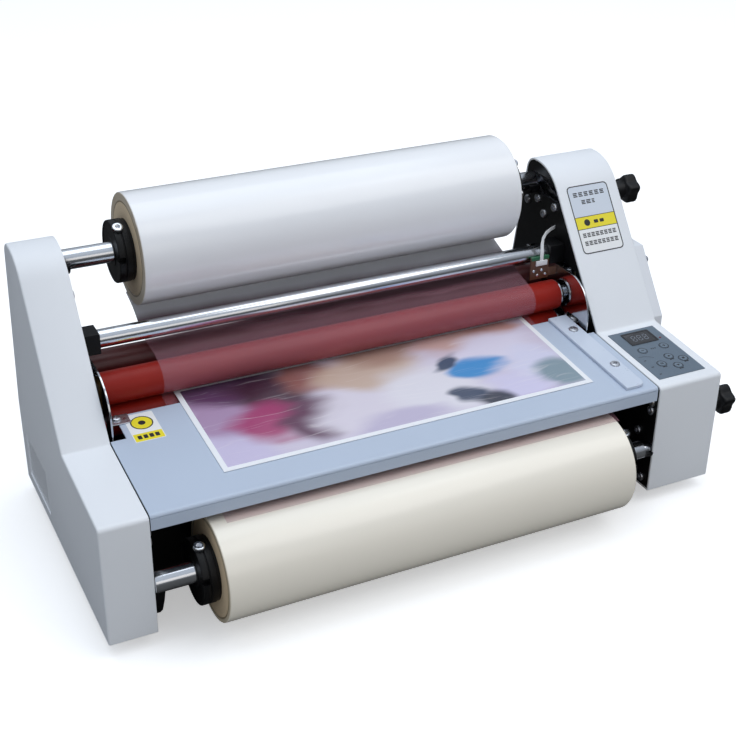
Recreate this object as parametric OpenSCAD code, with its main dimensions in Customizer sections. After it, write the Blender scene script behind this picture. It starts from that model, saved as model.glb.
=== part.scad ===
// Table-top roll laminator: two side casings joined by a feed table, four nip
// rollers, a reel of film above the rollers and a reel of film below the table.
// Working frame: X right, Y back from the casing fronts, Z up from the casing floors.

/* [Casings] */
// Width over the two casings
machine_w = 562.5; // [560:0.5:566]
// Width of the left casing
left_w = 39; // [34:1:50]
// Width of the right casing
right_w = 66; // [64:0.5:68]
// Depth of the casings
casing_d = 260; // [258:1:262]
// Height at which the rear edge starts to lean forward
back_z = 80; // [78:1:84]
// Forward lean of the rear edge per unit of height
back_lean = 0.173; // [0.16:0.001:0.18]
// Height of the deck at the casing front
deck_h = 106.4; // [105:0.2:108]
// Rise of the deck per unit of depth
deck_rise = 0.0778; // [0.07:0.001:0.085]
// Depth at which the deck meets the steep slope
kink_y = 97.6; // [96:0.2:99]
// Angle of the steep slope
slope_deg = 53.3; // [53:0.1:54]
// Depth of the slope's upper end
crest_y = 194.2; // [193:0.1:195]
// Radius of the rounded crest
crest_r = 45; // [42:1:46]
// Radius of the rounded corner behind the crest
back_r = 14; // [12:1:14]
// Wall thickness of the casings
wall = 2; // [1.5:0.1:2.2]
// Height of the rubber feet
foot_h = 12; // [10:0.5:16]

/* [Feed table] */
// Depth of the table's rear edge
table_back = 133; // [130:0.5:134]
// Height of the table's front fascia
fascia_h = 13; // [10:0.5:16]
// Thickness of the table sheet
table_t = 1.5; // [1.2:0.1:1.8]

/* [Nip rollers] */
// Radius over the rubber
roller_r = 13.9; // [13.6:0.1:14]
// Half the distance between upper and lower roller centres
half_centre = 14.8; // [14.7:0.05:14.9]
// Depth of the front pair of rollers
front_y = 152; // [151.5:0.1:152.5]
// Depth of the rear pair of rollers
rear_y = 191.2; // [190.8:0.1:191.6]
// Teeth of each roller gear
roller_teeth = 20; // [18:2:24]
// Teeth of the idler gear
idler_teeth = 24; // [20:2:28]
// Teeth of the motor pinion
pinion_teeth = 12; // [10:1:14]

/* [Film rolls] */
// Radius of the upper roll
upper_roll_r = 47.8; // [42:0.2:48]
// Radius of the lower roll
lower_roll_r = 44; // [41:0.2:46]
// Outer radius of the paper cores
core_r = 39.5; // [34:0.5:40]
// Radius of the supply shafts
shaft_r = 8.7; // [8:0.1:8.7]
// Thickness of the film webs
web_t = 0.2; // [0.16:0.01:0.22]

/* [Controls] */
// Outer radius of the star knobs
knob_r = 14; // [12:0.5:15]
// Radius of the round keys
key_r = 3.5; // [3:0.1:3.6]
// Travel of the keys
key_travel = 0.4; // [0.3:0.05:0.4]

/* [Hidden] */
$fn = 64;

// Faces of the casings across the machine
left_out = -280;
left_in = left_out + left_w;
right_out = left_out + machine_w;
right_in = right_out - right_w;

// Side profile of the casings
slope_rise = tan(slope_deg);
crest_fall = -0.03;
kink_z = deck_h + deck_rise * kink_y;
crest_z = kink_z + slope_rise * (crest_y - kink_y);
// height of a straight edge, moved inwards by t
function edge_z(z0, y0, rise, y, t) = z0 + rise * (y - y0) - t * sqrt(1 + rise * rise);
function deck_z(y, t = 0) = edge_z(deck_h, 0, deck_rise, y, t);
function slope_z(y, t = 0) = edge_z(kink_z, kink_y, slope_rise, y, t);
function top_z(y, t = 0) = edge_z(crest_z, crest_y, crest_fall, y, t);
function kink_at(t) = (slope_z(0, t) - deck_z(0, t)) / (deck_rise - slope_rise);
crest_c_y = (top_z(0, crest_r) - slope_z(0, crest_r)) / (slope_rise - crest_fall);
crest_c = [crest_c_y, slope_z(crest_c_y, crest_r)];
// depth of the leaning rear edge at height z, moved inwards by t
function back_y(z, t) = casing_d - back_lean * (z - back_z) - t * sqrt(1 + back_lean * back_lean);
back_c_y = back_y(top_z(0, back_r), back_r) / (1 + back_lean * crest_fall);
back_c = [back_c_y, top_z(back_c_y, back_r)];

// Shafts and rollers as [depth, height]
upper_shaft = [220, 221.4];
lower_shaft = [7, 42.5];
bar = [170, 170];
bar_r = 7.7;
nip_z = deck_z(front_y) + 0.5;
front_up = [front_y, nip_z + half_centre];
front_low = [front_y, nip_z - half_centre];
rear_up = [rear_y, nip_z + half_centre];
rear_low = [rear_y, nip_z - half_centre];
journal_r = 6.5;
rear_journal_r = 5;
lower_end_r = 5;
running = 0.05;

// Places across the machine
plate_t = 3;
roller_x0 = left_in + 6;
roller_x1 = 203;
block_t = 7;
gear_x0 = 224.5;
gear_x1 = 231.5;
journal_x0 = left_in - 12;
journal_x1 = 233;
shaft_x0 = left_in + 0.3;
shaft_x1 = right_in - 0.9;
lower_end_x = 208;
upper_film = [-182, 174];
lower_film = [-195, 172];
web_x = [-182.5, 174];
print_x = [-171.8, 166.6];
print_front = 30;
print_t = 0.4;
print_gap = 0.3;

// Bearing windows in the side plates
block_w = 25.4;
block_h = 24;
window_w = block_w + 0.6;
window_top = 159;

// Gear train
gear_m = 2 * half_centre / roller_teeth;
idler_reach = gear_m * (roller_teeth + idler_teeth) / 2;
idler_mid = (front_y + rear_y) / 2;
idler_drop = sqrt(pow(idler_reach, 2) - pow(idler_mid - front_y, 2));
idler = [idler_mid, front_low.y - idler_drop];
pinion = idler - [0, gear_m * (idler_teeth + pinion_teeth) / 2];
train_deg = atan2(idler_drop, idler_mid - front_y);
// turn of a gear that meshes with one turned by a, along the direction d
function mate(d, a, na, nb) = d + 180 - 180 / nb + na * (d - a) / nb;
idler_turn = mate(-train_deg, 0, roller_teeth, idler_teeth);
rear_turn = mate(train_deg, idler_turn, idler_teeth, roller_teeth);
pinion_turn = mate(-90, idler_turn, idler_teeth, pinion_teeth);

// Core holders
holder_r = 26.6;
plug_r = 25.9;
plug_l = 18;
holder_t = 6;
holder_gap = 2;
screw_at = 10;
screw_out = 3.5;

// Knobs and brake springs
upper_knob = [187, 211];
lower_knob = [17, 67];
knob_x1 = right_out + 26;
knob_t = 13;
neck_r = 8.5;
stud_r = 4;
leaf_x = right_in + plate_t + 2.5;
leaf_t = 1;
leaf_w = 9;

// Side cover and power inlet
cover_out = right_out + 12;
cover_back = 236;
cover_low = 20;
cover_top = 170;
inlet_x = 248;
inlet_z = 46;
inlet_w = 30;
inlet_h = 56;
inlet_d = 26;
rocker_z = inlet_z + 15;
rocker_w = 12;

// Control panel
overlay_x = [223, 272.5];
overlay_y = [11.4, 90.2];
overlay_t = 0.6;
display_at = [248.3, 76];
display_w = 29.4;
display_d = 19.4;
keys = [[237.2, 56], [261, 56.5], [254, 39.8], [253, 24.4], [264.5, 32.4], [240.5, 31.8]];
board_drop = 8.9;

// Side guide on the feed table
guide_x = 186;
guide_w = 19.5;
guide_r = 6;

// Screw places as [depth, height] on the inner face of a side plate
plate_screws = [[227.3, 199.9], [210.2, 206.5], [181.9, 207], [198.5, 195], [9.3, 79.5],
    [9.3, 88], [37.3, 40.6], [23.5, 52.2], [12, 9.3]];
guide_screws = [[196.7, 107.5], [198.2, 43.7]];
bracket_screws = [[-227, 128], [210.5, 128]];
cover_screws = [[138, 158], [228, 160], [228, 30], [112, 30]];

// Placement and basic shapes
mid_x = (left_out + knob_x1) / 2;
mid_y = (lower_shaft.x - lower_roll_r + upper_shaft.x + upper_roll_r) / 2;
module seated() {
    translate([-mid_x, -mid_y, foot_h])
        children();
}
module along_x(x0, x1) {
    translate([x0, 0, 0])
        rotate([90, 0, 90])
            linear_extrude(x1 - x0)
                children();
}
module rod(x0, x1, at, r) {
    translate([x0, at.x, at.y])
        rotate([0, 90, 0])
            cylinder(h = x1 - x0, r = r);
}
module tube(x0, x1, at, r, bore) {
    difference() {
        rod(x0, x1, at, r);
        rod(x0 - 1, x1 + 1, at, bore);
    }
}
module box(low, high) {
    translate(low)
        cube(high - low);
}
module on_deck(at) {
    translate([at.x, at.y, deck_z(at.y)])
        rotate([atan(deck_rise), 0, 0])
            children();
}
module swept(rings) {
    n = len(rings[0]);
    last = len(rings) - 1;
    sides = [for (i = [0:last - 1], j = [0:n - 1])
        [i * n + j, i * n + (j + 1) % n, (i + 1) * n + (j + 1) % n, (i + 1) * n + j]];
    start = [for (j = [n - 1:-1:0]) j];
    end = [for (j = [0:n - 1]) last * n + j];
    polyhedron(points = [for (ring = rings, p = ring) p], faces = concat(sides, [start, end]));
}

// Casings
module profile(t) {
    top_a = 90 + atan(crest_fall);
    polygon(concat(
        [[t, t], [t, deck_z(t, t)], [kink_at(t), deck_z(kink_at(t), t)]],
        arc(crest_c, crest_r - t, slope_deg + 90, top_a, 12),
        arc(back_c, back_r - t, top_a, atan(back_lean), 12),
        [[casing_d - t, back_z], [casing_d - t, t]]));
}
module heater_bosses(x0, x1) {
    for (at = [front_up, front_low])
        tube(x0, x1, at, 8, 5);
}
module vent_slots() {
    for (i = [0:11])
        box([left_out - 1, 175 + 5.6 * i, 16], [left_out + wall + 1, 177.6 + 5.6 * i, 50]);
}
module left_casing() {
    color([0.93, 0.94, 0.96])
        seated() {
            difference() {
                along_x(left_out, left_in)
                    profile(0);
                along_x(left_out + wall, left_in + 1)
                    profile(wall);
                box([left_out - 1, 172, 11], [left_out + wall / 2, 245, 55]);
                vent_slots();
            }
            heater_bosses(left_out + wall, left_out + wall + 10);
        }
}
module deck_openings() {
    on_deck(display_at)
        box([-display_w / 2, -display_d / 2, -5], [display_w / 2, display_d / 2, 5]);
    for (k = keys)
        on_deck(k)
            translate([0, 0, -5])
                cylinder(h = 10, r = key_r + 0.3);
}
module right_casing() {
    color([0.93, 0.94, 0.96])
        seated() {
            difference() {
                along_x(right_in, right_out)
                    profile(0);
                along_x(right_in - 1, right_out - wall)
                    profile(wall);
                deck_openings();
                for (at = [upper_knob, lower_knob])
                    rod(right_out - 5, right_out + 5, at, stud_r + running);
                box([inlet_x - inlet_w / 2, casing_d - 5, inlet_z - inlet_h / 2],
                    [inlet_x + inlet_w / 2, casing_d + 5, inlet_z + inlet_h / 2]);
            }
            heater_bosses(right_out - wall - 10, right_out - wall);
        }
}
module side_cover() {
    color([0.9, 0.91, 0.93])
        seated()
            difference() {
                along_x(right_out, cover_out)
                    cover_profile(0);
                along_x(right_out - 1, cover_out - wall)
                    cover_profile(wall);
                for (s = cover_screws)
                    rod(right_out, cover_out + 1, s, 1.6);
            }
}
module cover_profile(t) {
    low_y = kink_y + 6;
    top_y = kink_y + (cover_top - kink_z) / slope_rise + 5;
    polygon([[low_y + t, cover_low + t], [low_y + t, kink_z - t / 2],
        [top_y + t / 2, cover_top - t], [cover_back - t, cover_top - t],
        [cover_back - t, cover_low + t]]);
}
module rubber_feet() {
    color([0.08, 0.08, 0.08])
        seated()
            for (x = [left_out + 20, right_out - 30], y = [34, casing_d - 43])
                translate([x, y, -foot_h])
                    cylinder(h = foot_h, r1 = 9, r2 = 12);
}

// Side plates and the pieces bolted to them
module plate(x0) {
    difference() {
        along_x(x0, x0 + plate_t)
            profile(wall + 0.3);
        for (at = [front_up, rear_up])
            box([x0 - 1, at.x - window_w / 2, at.y - block_h / 2 - 0.3],
                [x0 + plate_t + 1, at.x + window_w / 2, window_top]);
        rod(x0 - 1, x0 + plate_t + 1, front_low, journal_r + running);
        rod(x0 - 1, x0 + plate_t + 1, rear_low, rear_journal_r + running);
        for (s = plate_screws)
            rod(x0 - 1, x0 + plate_t + 1, s, 2);
    }
}
module left_side_plate() {
    color([0.08, 0.08, 0.09])
        seated()
            plate(left_in - plate_t);
}
// slot that a shaft of radius r drops into from the front
module shaft_slot(x0, x1, at, r) {
    rod(x0, x1, at, r + running);
    box([x0, at.x - 60, at.y - r - running], [x1, at.x, at.y + r + running]);
}
module right_side_plate() {
    color([0.08, 0.08, 0.09])
        seated() {
            difference() {
                plate(right_in);
                shaft_slot(right_in - 1, right_in + 4, upper_shaft, shaft_r);
                shaft_slot(right_in - 1, right_in + 4, lower_shaft, lower_end_r);
            }
            rod(right_in + plate_t, gear_x1 + 1, idler, stud_r);
        }
}
module frame_screws() {
    color([0.7, 0.7, 0.72])
        seated() {
            for (s = plate_screws) {
                rod(right_in - 2.2, right_in, s, 4.2);
                rod(right_in, right_in + plate_t, s, 2);
                rod(left_in, left_in + 2.2, s, 4.2);
                rod(left_in - plate_t, left_in, s, 2);
            }
            for (s = guide_screws)
                on_deck(s)
                    translate([0, 0, 3])
                        cylinder(h = 1.6, r = 4.5);
            for (s = bracket_screws)
                on_deck(s)
                    translate([0, 0, 1.2])
                        cylinder(h = 1.8, r = 4);
            for (s = cover_screws) {
                rod(cover_out, cover_out + 1.6, s, 3.2);
                rod(right_out, cover_out, s, 1.6);
            }
        }
}
module seat_block(x0, x1, at) {
    foot_z = wall + 0.6;
    difference() {
        along_x(x0, x1)
            polygon([[0.6, at.y], [0.6, 36], [4.6, 25], [11.6, 11], [19.6, foot_z],
                [at.x + 30, foot_z], [at.x + 30, at.y]]);
        rod(x0 - 1, x1 + 1, at, shaft_r + running);
        for (s = plate_screws)
            rod(x0 - 1, x0 + 3, s, 4.2);
    }
}
module saddle(x0, x1, at, r) {
    difference() {
        tube(x0, x1, at, r + 3.2, r + running);
        box([x0 - 1, at.x - 30, at.y - 1], [x1 + 1, at.x + 30, at.y + 30]);
    }
}
module shaft_seats() {
    color([0.08, 0.08, 0.08])
        seated() {
            seat_block(left_in, left_in + 8, lower_shaft);
            saddle(left_in, left_in + 8, upper_shaft, shaft_r);
            saddle(right_in - 10, right_in, upper_shaft, shaft_r);
            saddle(lower_end_x + 0.5, right_in, lower_shaft, lower_end_r);
        }
}
module brake_springs() {
    color([0.75, 0.76, 0.78])
        seated() {
            leaf(upper_shaft, upper_knob);
            leaf(lower_shaft, lower_knob);
        }
}
module leaf(pad, push) {
    reach = norm(push - pad) + 10.5;
    turn = atan2(push.y - pad.y, push.x - pad.x);
    root = pad + reach * [cos(turn), sin(turn)];
    along_x(leaf_x, leaf_x + leaf_t)
        translate(pad)
            rotate(turn) {
                translate([0, -leaf_w / 2])
                    square([reach, leaf_w]);
                circle(d = leaf_w);
                translate([reach, 0])
                    circle(d = leaf_w);
            }
    rod(right_in + plate_t, leaf_x, root, 3);
    rod(shaft_x1 + 0.3, leaf_x, pad, 4);
}
module base_pan() {
    t = 1.5;
    color([0.07, 0.07, 0.08])
        seated()
            along_x(left_in + 0.3, right_in - 0.3)
                difference() {
                    translate([65, 3])
                        square([180, 67]);
                    translate([65 + t, 3 + t])
                        square([180 - 2 * t, 67]);
                    translate([150, 60])
                        square([100, 20]);
                }
}
module idler_bar() {
    color([0.85, 0.86, 0.88])
        seated()
            rod(left_in + 3, right_in - 3, bar, bar_r);
}
module idler_bar_blocks() {
    color([0.07, 0.07, 0.07])
        seated()
            for (x = [left_in, right_in - 15])
                difference() {
                    box([x, bar.x - 9, bar.y - 9.5], [x + 15, bar.x + 10, bar.y + 8.5]);
                    rod(max(x - 1, left_in + 3), min(x + 16, right_in - 3), bar, bar_r);
                }
}
module end_plate(x0, x1, flange_x0, flange_x1) {
    round_r = 32;
    front = 104;
    top = 160;
    back = 212;
    low = 90;
    difference() {
        union() {
            along_x(x0, x1) {
                translate([front + round_r, low])
                    square([back - front - round_r, top - low]);
                translate([front, low])
                    square([round_r, top - low - round_r]);
                translate([front + round_r, top - round_r])
                    circle(r = round_r);
            }
            box([flange_x0, back - 1.5, low], [flange_x1, back, top]);
        }
        for (at = [front_up, front_low, rear_up, rear_low])
            rod(x0 - 1, x1 + 1, at, journal_r + 2);
        box([x0 - 1, 118, deck_z(118) - 3], [x1 + 1, 136, deck_z(136) + 4.5]);
    }
}
module end_plates() {
    color([0.8, 0.81, 0.83])
        seated() {
            end_plate(right_in - 8, right_in - 6.5, right_in - 8, right_in);
            end_plate(left_in + 3.3, left_in + 4.8, left_in, left_in + 4.8);
        }
}

// Feed table
module feed_table() {
    bend = 3;
    color([0.8, 0.83, 0.89])
        seated()
            difference() {
                along_x(left_in + 1, right_in - 1.5) {
                    polygon([[1.5 + bend, deck_z(1.5 + bend)], [table_back, deck_z(table_back)],
                        [table_back, deck_z(table_back) - table_t],
                        [1.5 + bend, deck_z(1.5 + bend) - table_t]]);
                    translate([1.5, deck_h - fascia_h])
                        square([table_t, fascia_h - bend]);
                    translate([1.5 + bend, deck_z(1.5 + bend) - bend])
                        difference() {
                            circle(r = bend);
                            circle(r = bend - table_t);
                            translate([0, -2 * bend])
                                square(4 * bend);
                            translate([-2 * bend, -4 * bend])
                                square(4 * bend);
                        }
                }
                box([205, 101, 0], [right_in, table_back + 1, kink_z + 20]);
                box([left_in, 101, 0], [left_in + 14, table_back + 1, kink_z + 20]);
            }
}
module table_brackets() {
    color([0.75, 0.76, 0.78])
        seated()
            for (s = bracket_screws)
                on_deck(s)
                    box([s.x < 0 ? -9 : -4.8, -8, 0], [s.x < 0 ? 10 : 5.9, 5, 1.2]);
}
module side_guide() {
    color([0.9, 0.92, 0.95])
        seated()
            on_deck([guide_x, 8])
                linear_extrude(3)
                    difference() {
                        square([guide_w, 126]);
                        translate([guide_w - guide_r, 0])
                            difference() {
                                square(guide_r);
                                translate([0, guide_r])
                                    circle(r = guide_r);
                            }
                    }
}
module sample_print() {
    color([0.85, 0.7, 0.8])
        seated()
            translate([0, print_front, deck_z(print_front) + print_gap])
                rotate([atan(deck_rise), 0, 0])
                    box([print_x[0], 0, 0], [print_x[1], 122, print_t]);
}

// Nip rollers
module bearing_blocks(at, r) {
    color([0.7, 0.6, 0.4])
        seated()
            for (x = [left_in - plate_t - 2, right_in - 2])
                difference() {
                    box([x, at.x - block_w / 2, at.y - block_h / 2],
                        [x + block_t, at.x + block_w / 2, at.y + block_h / 2]);
                    rod(x - 1, x + block_t + 1, at, r + running);
                }
}
module front_bearing_blocks() {
    bearing_blocks(front_up, journal_r);
}
module rear_bearing_blocks() {
    bearing_blocks(rear_up, rear_journal_r);
}
// one round of a coil's wire at turn a and height z
function wire_ring(a, z, r, wire) = [for (j = [0:5])
    [(r + wire * cos(60 * j)) * cos(a), (r + wire * cos(60 * j)) * sin(a), z + wire * sin(60 * j)]];
module coil(at, z0, z1, r, wire, turns) {
    steps = turns * 12;
    rise = (z1 - z0 - 2 * wire) / steps;
    translate([at.x, at.y, z0 + wire])
        swept([for (i = [0:steps]) wire_ring(30 * i, rise * i, r, wire)]);
}
module pressure_springs(at) {
    color([0.6, 0.62, 0.65])
        seated()
            for (x = [left_in - plate_t / 2, right_in + plate_t / 2])
                coil([x, at.x], at.y + block_h / 2, window_top, 4, 0.7, 4);
}
module front_pressure_springs() {
    pressure_springs(front_up);
}
module rear_pressure_springs() {
    pressure_springs(rear_up);
}
module hollow_core(at) {
    color([0.8, 0.81, 0.83])
        seated()
            difference() {
                union() {
                    rod(roller_x0, roller_x1 + 2, at, roller_r - 2.5);
                    rod(roller_x1, roller_x1 + 2, at, roller_r - 1.2);
                    rod(journal_x0, journal_x1, at, journal_r);
                }
                rod(journal_x0 - 1, journal_x1 + 1, at, journal_r - 1.3);
            }
}
module sleeve(at, tint) {
    color(tint)
        seated()
            tube(roller_x0, roller_x1, at, roller_r, roller_r - 2.5);
}
module front_upper_core() {
    hollow_core(front_up);
}
module front_upper_sleeve() {
    sleeve(front_up, [0.68, 0.16, 0.12]);
}
module front_lower_core() {
    hollow_core(front_low);
}
module front_lower_sleeve() {
    sleeve(front_low, [0.6, 0.13, 0.1]);
}
module solid_roller(at) {
    color([0.4, 0.1, 0.1])
        seated()
            union() {
                rod(roller_x0, roller_x1 + 3, at, roller_r);
                rod(journal_x0, journal_x1, at, rear_journal_r);
            }
}
module rear_upper_roller() {
    solid_roller(rear_up);
}
module rear_lower_roller() {
    solid_roller(rear_low);
}
module heater_tubes() {
    color([0.9, 0.9, 0.86])
        seated()
            for (at = [front_up, front_low])
                union() {
                    rod(left_out + wall + 1, right_out - wall - 1, at, 3.2);
                    rod(left_out + wall + 1, left_out + wall + 14, at, 5);
                    rod(right_out - wall - 14, right_out - wall - 1, at, 5);
                }
}

// Gears with involute teeth
module gear_outline(teeth) {
    pitch = gear_m * teeth / 2;
    base = pitch * cos(20);
    tip = pitch + gear_m * 0.95;
    root = pitch - gear_m * 1.2;
    half = 90 / teeth * 0.95;
    // angle swept by the involute between the base circle and radius r
    swing = function(r) let(u = sqrt(max(0, pow(r / base, 2) - 1))) u * 180 / PI - atan(u);
    start = max(base, root);
    radii = [for (i = [0:3]) start + (tip - start) * i / 3];
    flank = [for (r = radii) [r, half + swing(pitch) - swing(r)]];
    foot = [[min(root, base * 0.995), flank[0][1]]];
    side = concat(foot, flank);
    tooth = concat([for (p = side) [p[0], -p[1]]], [for (i = [len(side) - 1:-1:0]) side[i]]);
    polygon([for (n = [0:teeth - 1], p = tooth)
        p[0] * [cos(p[1] + 360 * n / teeth), sin(p[1] + 360 * n / teeth)]]);
}
module gear(at, teeth, bore, turn) {
    difference() {
        along_x(gear_x0, gear_x1)
            translate(at)
                rotate(turn)
                    gear_outline(teeth);
        rod(gear_x0 - 1, gear_x1 + 1, at, bore);
    }
}
module front_upper_gear() {
    color([0.85, 0.83, 0.75])
        seated()
            gear(front_up, roller_teeth, journal_r, mate(90, 0, roller_teeth, roller_teeth));
}
module front_lower_gear() {
    color([0.85, 0.83, 0.75])
        seated()
            gear(front_low, roller_teeth, journal_r, 0);
}
module rear_upper_gear() {
    color([0.85, 0.83, 0.75])
        seated()
            gear(rear_up, roller_teeth, rear_journal_r,
                mate(90, rear_turn, roller_teeth, roller_teeth));
}
module rear_lower_gear() {
    color([0.85, 0.83, 0.75])
        seated()
            gear(rear_low, roller_teeth, rear_journal_r, rear_turn);
}
module idler_gear() {
    color([0.85, 0.83, 0.75])
        seated()
            gear(idler, idler_teeth, stud_r + running, idler_turn);
}
module motor_pinion() {
    color([0.75, 0.75, 0.78])
        seated()
            union() {
                gear(pinion, pinion_teeth, 2, pinion_turn);
                rod(gear_x0, 240, pinion, 3);
            }
}
module gear_motor() {
    color([0.25, 0.25, 0.27])
        seated() {
            difference() {
                union() {
                    rod(234, 256, pinion, 18.5);
                    rod(256, right_out - wall - 1, pinion, 17);
                }
                rod(233, 241, pinion, 3 + running);
            }
            for (a = [-30, 210, 270])
                rod(right_in + plate_t, 234, pinion + 15 * [cos(a), sin(a)], 3);
        }
}

// Supply shafts and film rolls
module supply_shaft(at, ends, screw_turn, step_x, end_r) {
    color([0.85, 0.86, 0.88])
        seated() {
            rod(shaft_x0, step_x, at, shaft_r);
            rod(step_x - 1, shaft_x1, at, end_r);
            for (x = [ends[0] - screw_at, ends[1] + screw_at])
                translate([x, at.x, at.y])
                    rotate([screw_turn - 90, 0, 0]) {
                        translate([0, 0, shaft_r])
                            cylinder(h = holder_r - shaft_r, r = 2.5);
                        translate([0, 0, holder_r])
                            cylinder(h = screw_out, r = 4.6);
                    }
        }
}
module holder(at, inner, outer, screw_x, screw_turn) {
    side = sign(inner - outer);
    difference() {
        union() {
            rod(min(inner, outer), max(inner, outer), at, holder_r);
            rod(min(inner, inner + side * plug_l), max(inner, inner + side * plug_l), at, plug_r);
        }
        rod(min(outer, inner + side * plug_l) - 1, max(outer, inner + side * plug_l) + 1, at, shaft_r);
        translate([screw_x, at.x, at.y])
            rotate([screw_turn - 90, 0, 0])
                cylinder(h = holder_r + 5, r = 2.5);
        translate([(outer + inner + side * -holder_t) / 2, at.x, at.y])
            rotate([screw_turn + 60, 0, 0])
                box([-holder_t / 2 - 0.1, -3, shaft_r - 2], [holder_t / 2 + 0.1, 3, holder_r + 5]);
    }
}
module core_holders(at, ends, screw_turn) {
    color([0.09, 0.09, 0.1])
        seated() {
            holder(at, ends[0] - holder_gap, ends[0] - holder_gap - 2 * holder_t,
                ends[0] - screw_at, screw_turn);
            holder(at, ends[1] + holder_gap, ends[1] + holder_gap + 2 * holder_t,
                ends[1] + screw_at, screw_turn);
        }
}
module core_tube(at, ends) {
    color([0.82, 0.74, 0.62])
        seated()
            tube(ends[0], ends[1], at, core_r, plug_r);
}
module film_roll(at, ends, r) {
    color([0.95, 0.93, 0.9])
        seated()
            tube(ends[0], ends[1], at, r, core_r);
}
module upper_supply_shaft() {
    supply_shaft(upper_shaft, upper_film, 116, shaft_x1, shaft_r);
}
module upper_core_holders() {
    core_holders(upper_shaft, upper_film, 116);
}
module upper_core_tube() {
    core_tube(upper_shaft, upper_film);
}
module upper_film_roll() {
    film_roll(upper_shaft, upper_film, upper_roll_r);
}
module lower_supply_shaft() {
    supply_shaft(lower_shaft, lower_film, 105, lower_end_x, lower_end_r);
}
module lower_core_holders() {
    core_holders(lower_shaft, lower_film, 105);
}
module lower_core_tube() {
    core_tube(lower_shaft, lower_film);
}
module lower_film_roll() {
    film_roll(lower_shaft, lower_film, lower_roll_r);
}

// Film webs: arcs around the rollers joined by straight runs
clear = 0.35;
tail_y = 214;
function arc(c, r, a0, a1, n) = [for (i = [0:n]) let(a = a0 + (a1 - a0) * i / n)
    c + r * [cos(a), sin(a)]];
function unit(v) = v / norm(v);
function heading(v) = atan2(v.y, v.x);
// sheet of thickness t whose middle follows the path
function side_step(path, i) = let(
    a = path[max(i - 1, 0)],
    b = path[min(i + 1, len(path) - 1)],
    u = unit(b - a)) [-u.y, u.x];
function sheet(path, t) = concat(
    [for (i = [0:len(path) - 1]) path[i] + t / 2 * side_step(path, i)],
    [for (i = [len(path) - 1:-1:0]) path[i] - t / 2 * side_step(path, i)]);
web_roller_r = roller_r + clear;
web_roll_r = upper_roll_r + clear;
up_span = front_up - upper_shaft;
drop_deg = heading(up_span) - asin((web_roll_r + web_roller_r) / norm(up_span));
upper_path = concat(
    [upper_shaft + web_roll_r * [-sin(drop_deg), cos(drop_deg)]],
    arc(front_up, web_roller_r, drop_deg + 270, 270, 18),
    [[tail_y, front_up.y - web_roller_r]]);
low_span = front_low - lower_shaft;
rise_deg = heading(low_span) - asin((lower_roll_r - roller_r) / norm(low_span));
lower_path = concat(
    [lower_shaft + (lower_roll_r + clear) * [-sin(rise_deg), cos(rise_deg)]],
    arc(front_low, web_roller_r, rise_deg + 90, 90, 3),
    [[tail_y, front_low.y + web_roller_r]]);
module upper_film_web() {
    color([0.92, 0.88, 0.92, 0.5])
        seated()
            along_x(web_x[0], web_x[1])
                polygon(sheet(upper_path, web_t));
}
module lower_film_web() {
    color([0.92, 0.9, 0.92, 0.5])
        seated()
            along_x(web_x[0], web_x[1])
                polygon(sheet(lower_path, web_t));
}

// Knobs
module tension_knob(at) {
    lobes = 5;
    lobe_r = 4.4;
    color([0.06, 0.06, 0.06])
        seated()
            union() {
                along_x(knob_x1 - knob_t, knob_x1)
                    translate(at) {
                        circle(r = knob_r - lobe_r);
                        for (i = [0:lobes - 1])
                            rotate(360 / lobes * i + 18)
                                translate([knob_r - lobe_r, 0])
                                    circle(r = lobe_r);
                    }
                rod(right_out + 0.4, knob_x1 - knob_t, at, neck_r);
                rod(leaf_x + leaf_t + 0.3, knob_x1 - knob_t, at, stud_r);
            }
}
module upper_tension_knob() {
    tension_knob(upper_knob);
}
module lower_tension_knob() {
    tension_knob(lower_knob);
}

// Control panel, built square to the deck
module control_overlay() {
    color([0.5, 0.53, 0.56])
        seated()
            difference() {
                on_deck([0, overlay_y[0]])
                    box([overlay_x[0], 0, 0], [overlay_x[1], overlay_y[1] - overlay_y[0], overlay_t]);
                deck_openings();
            }
}
module display_window() {
    color([0.1, 0.08, 0.08])
        seated()
            on_deck(display_at)
                box([-display_w / 2 + 0.1, -display_d / 2 + 0.1, -1.6],
                    [display_w / 2 - 0.1, display_d / 2 - 0.1, overlay_t + 0.2]);
}
module control_board() {
    color([0.1, 0.35, 0.2])
        seated() {
            on_deck([0, overlay_y[0] + 3]) {
                box([overlay_x[0] + 1, 0, -board_drop - 1.6], [overlay_x[1] - 1, 74, -board_drop]);
                for (x = [overlay_x[0] + 4, overlay_x[1] - 4], y = [4, 70])
                    translate([x, y, -board_drop])
                        cylinder(h = board_drop - wall, r = 2);
            }
            on_deck(display_at)
                box([-display_w / 2, -display_d / 2 + 0.5, -board_drop],
                    [display_w / 2, display_d / 2 - 0.5, -2.6]);
            for (k = keys)
                on_deck(k)
                    box([-3, -3, -board_drop], [3, 3, -6.2 - key_travel]);
        }
}
module key(at) {
    color([0.45, 0.48, 0.52])
        seated()
            on_deck(at)
                union() {
                    translate([0, 0, -2.5])
                        cylinder(h = 2.5 + overlay_t + 0.4, r = key_r);
                    translate([0, 0, -3.4])
                        cylinder(h = 0.9, r = key_r + 1.2);
                    translate([0, 0, -6.1])
                        cylinder(h = 3, r = 1.5);
                }
}
module key_minus() {
    key(keys[0]);
}
module key_plus() {
    key(keys[1]);
}
module key_forward() {
    key(keys[2]);
}
module key_reverse() {
    key(keys[3]);
}
module key_stop() {
    key(keys[4]);
}
module key_heat() {
    key(keys[5]);
}

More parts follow.
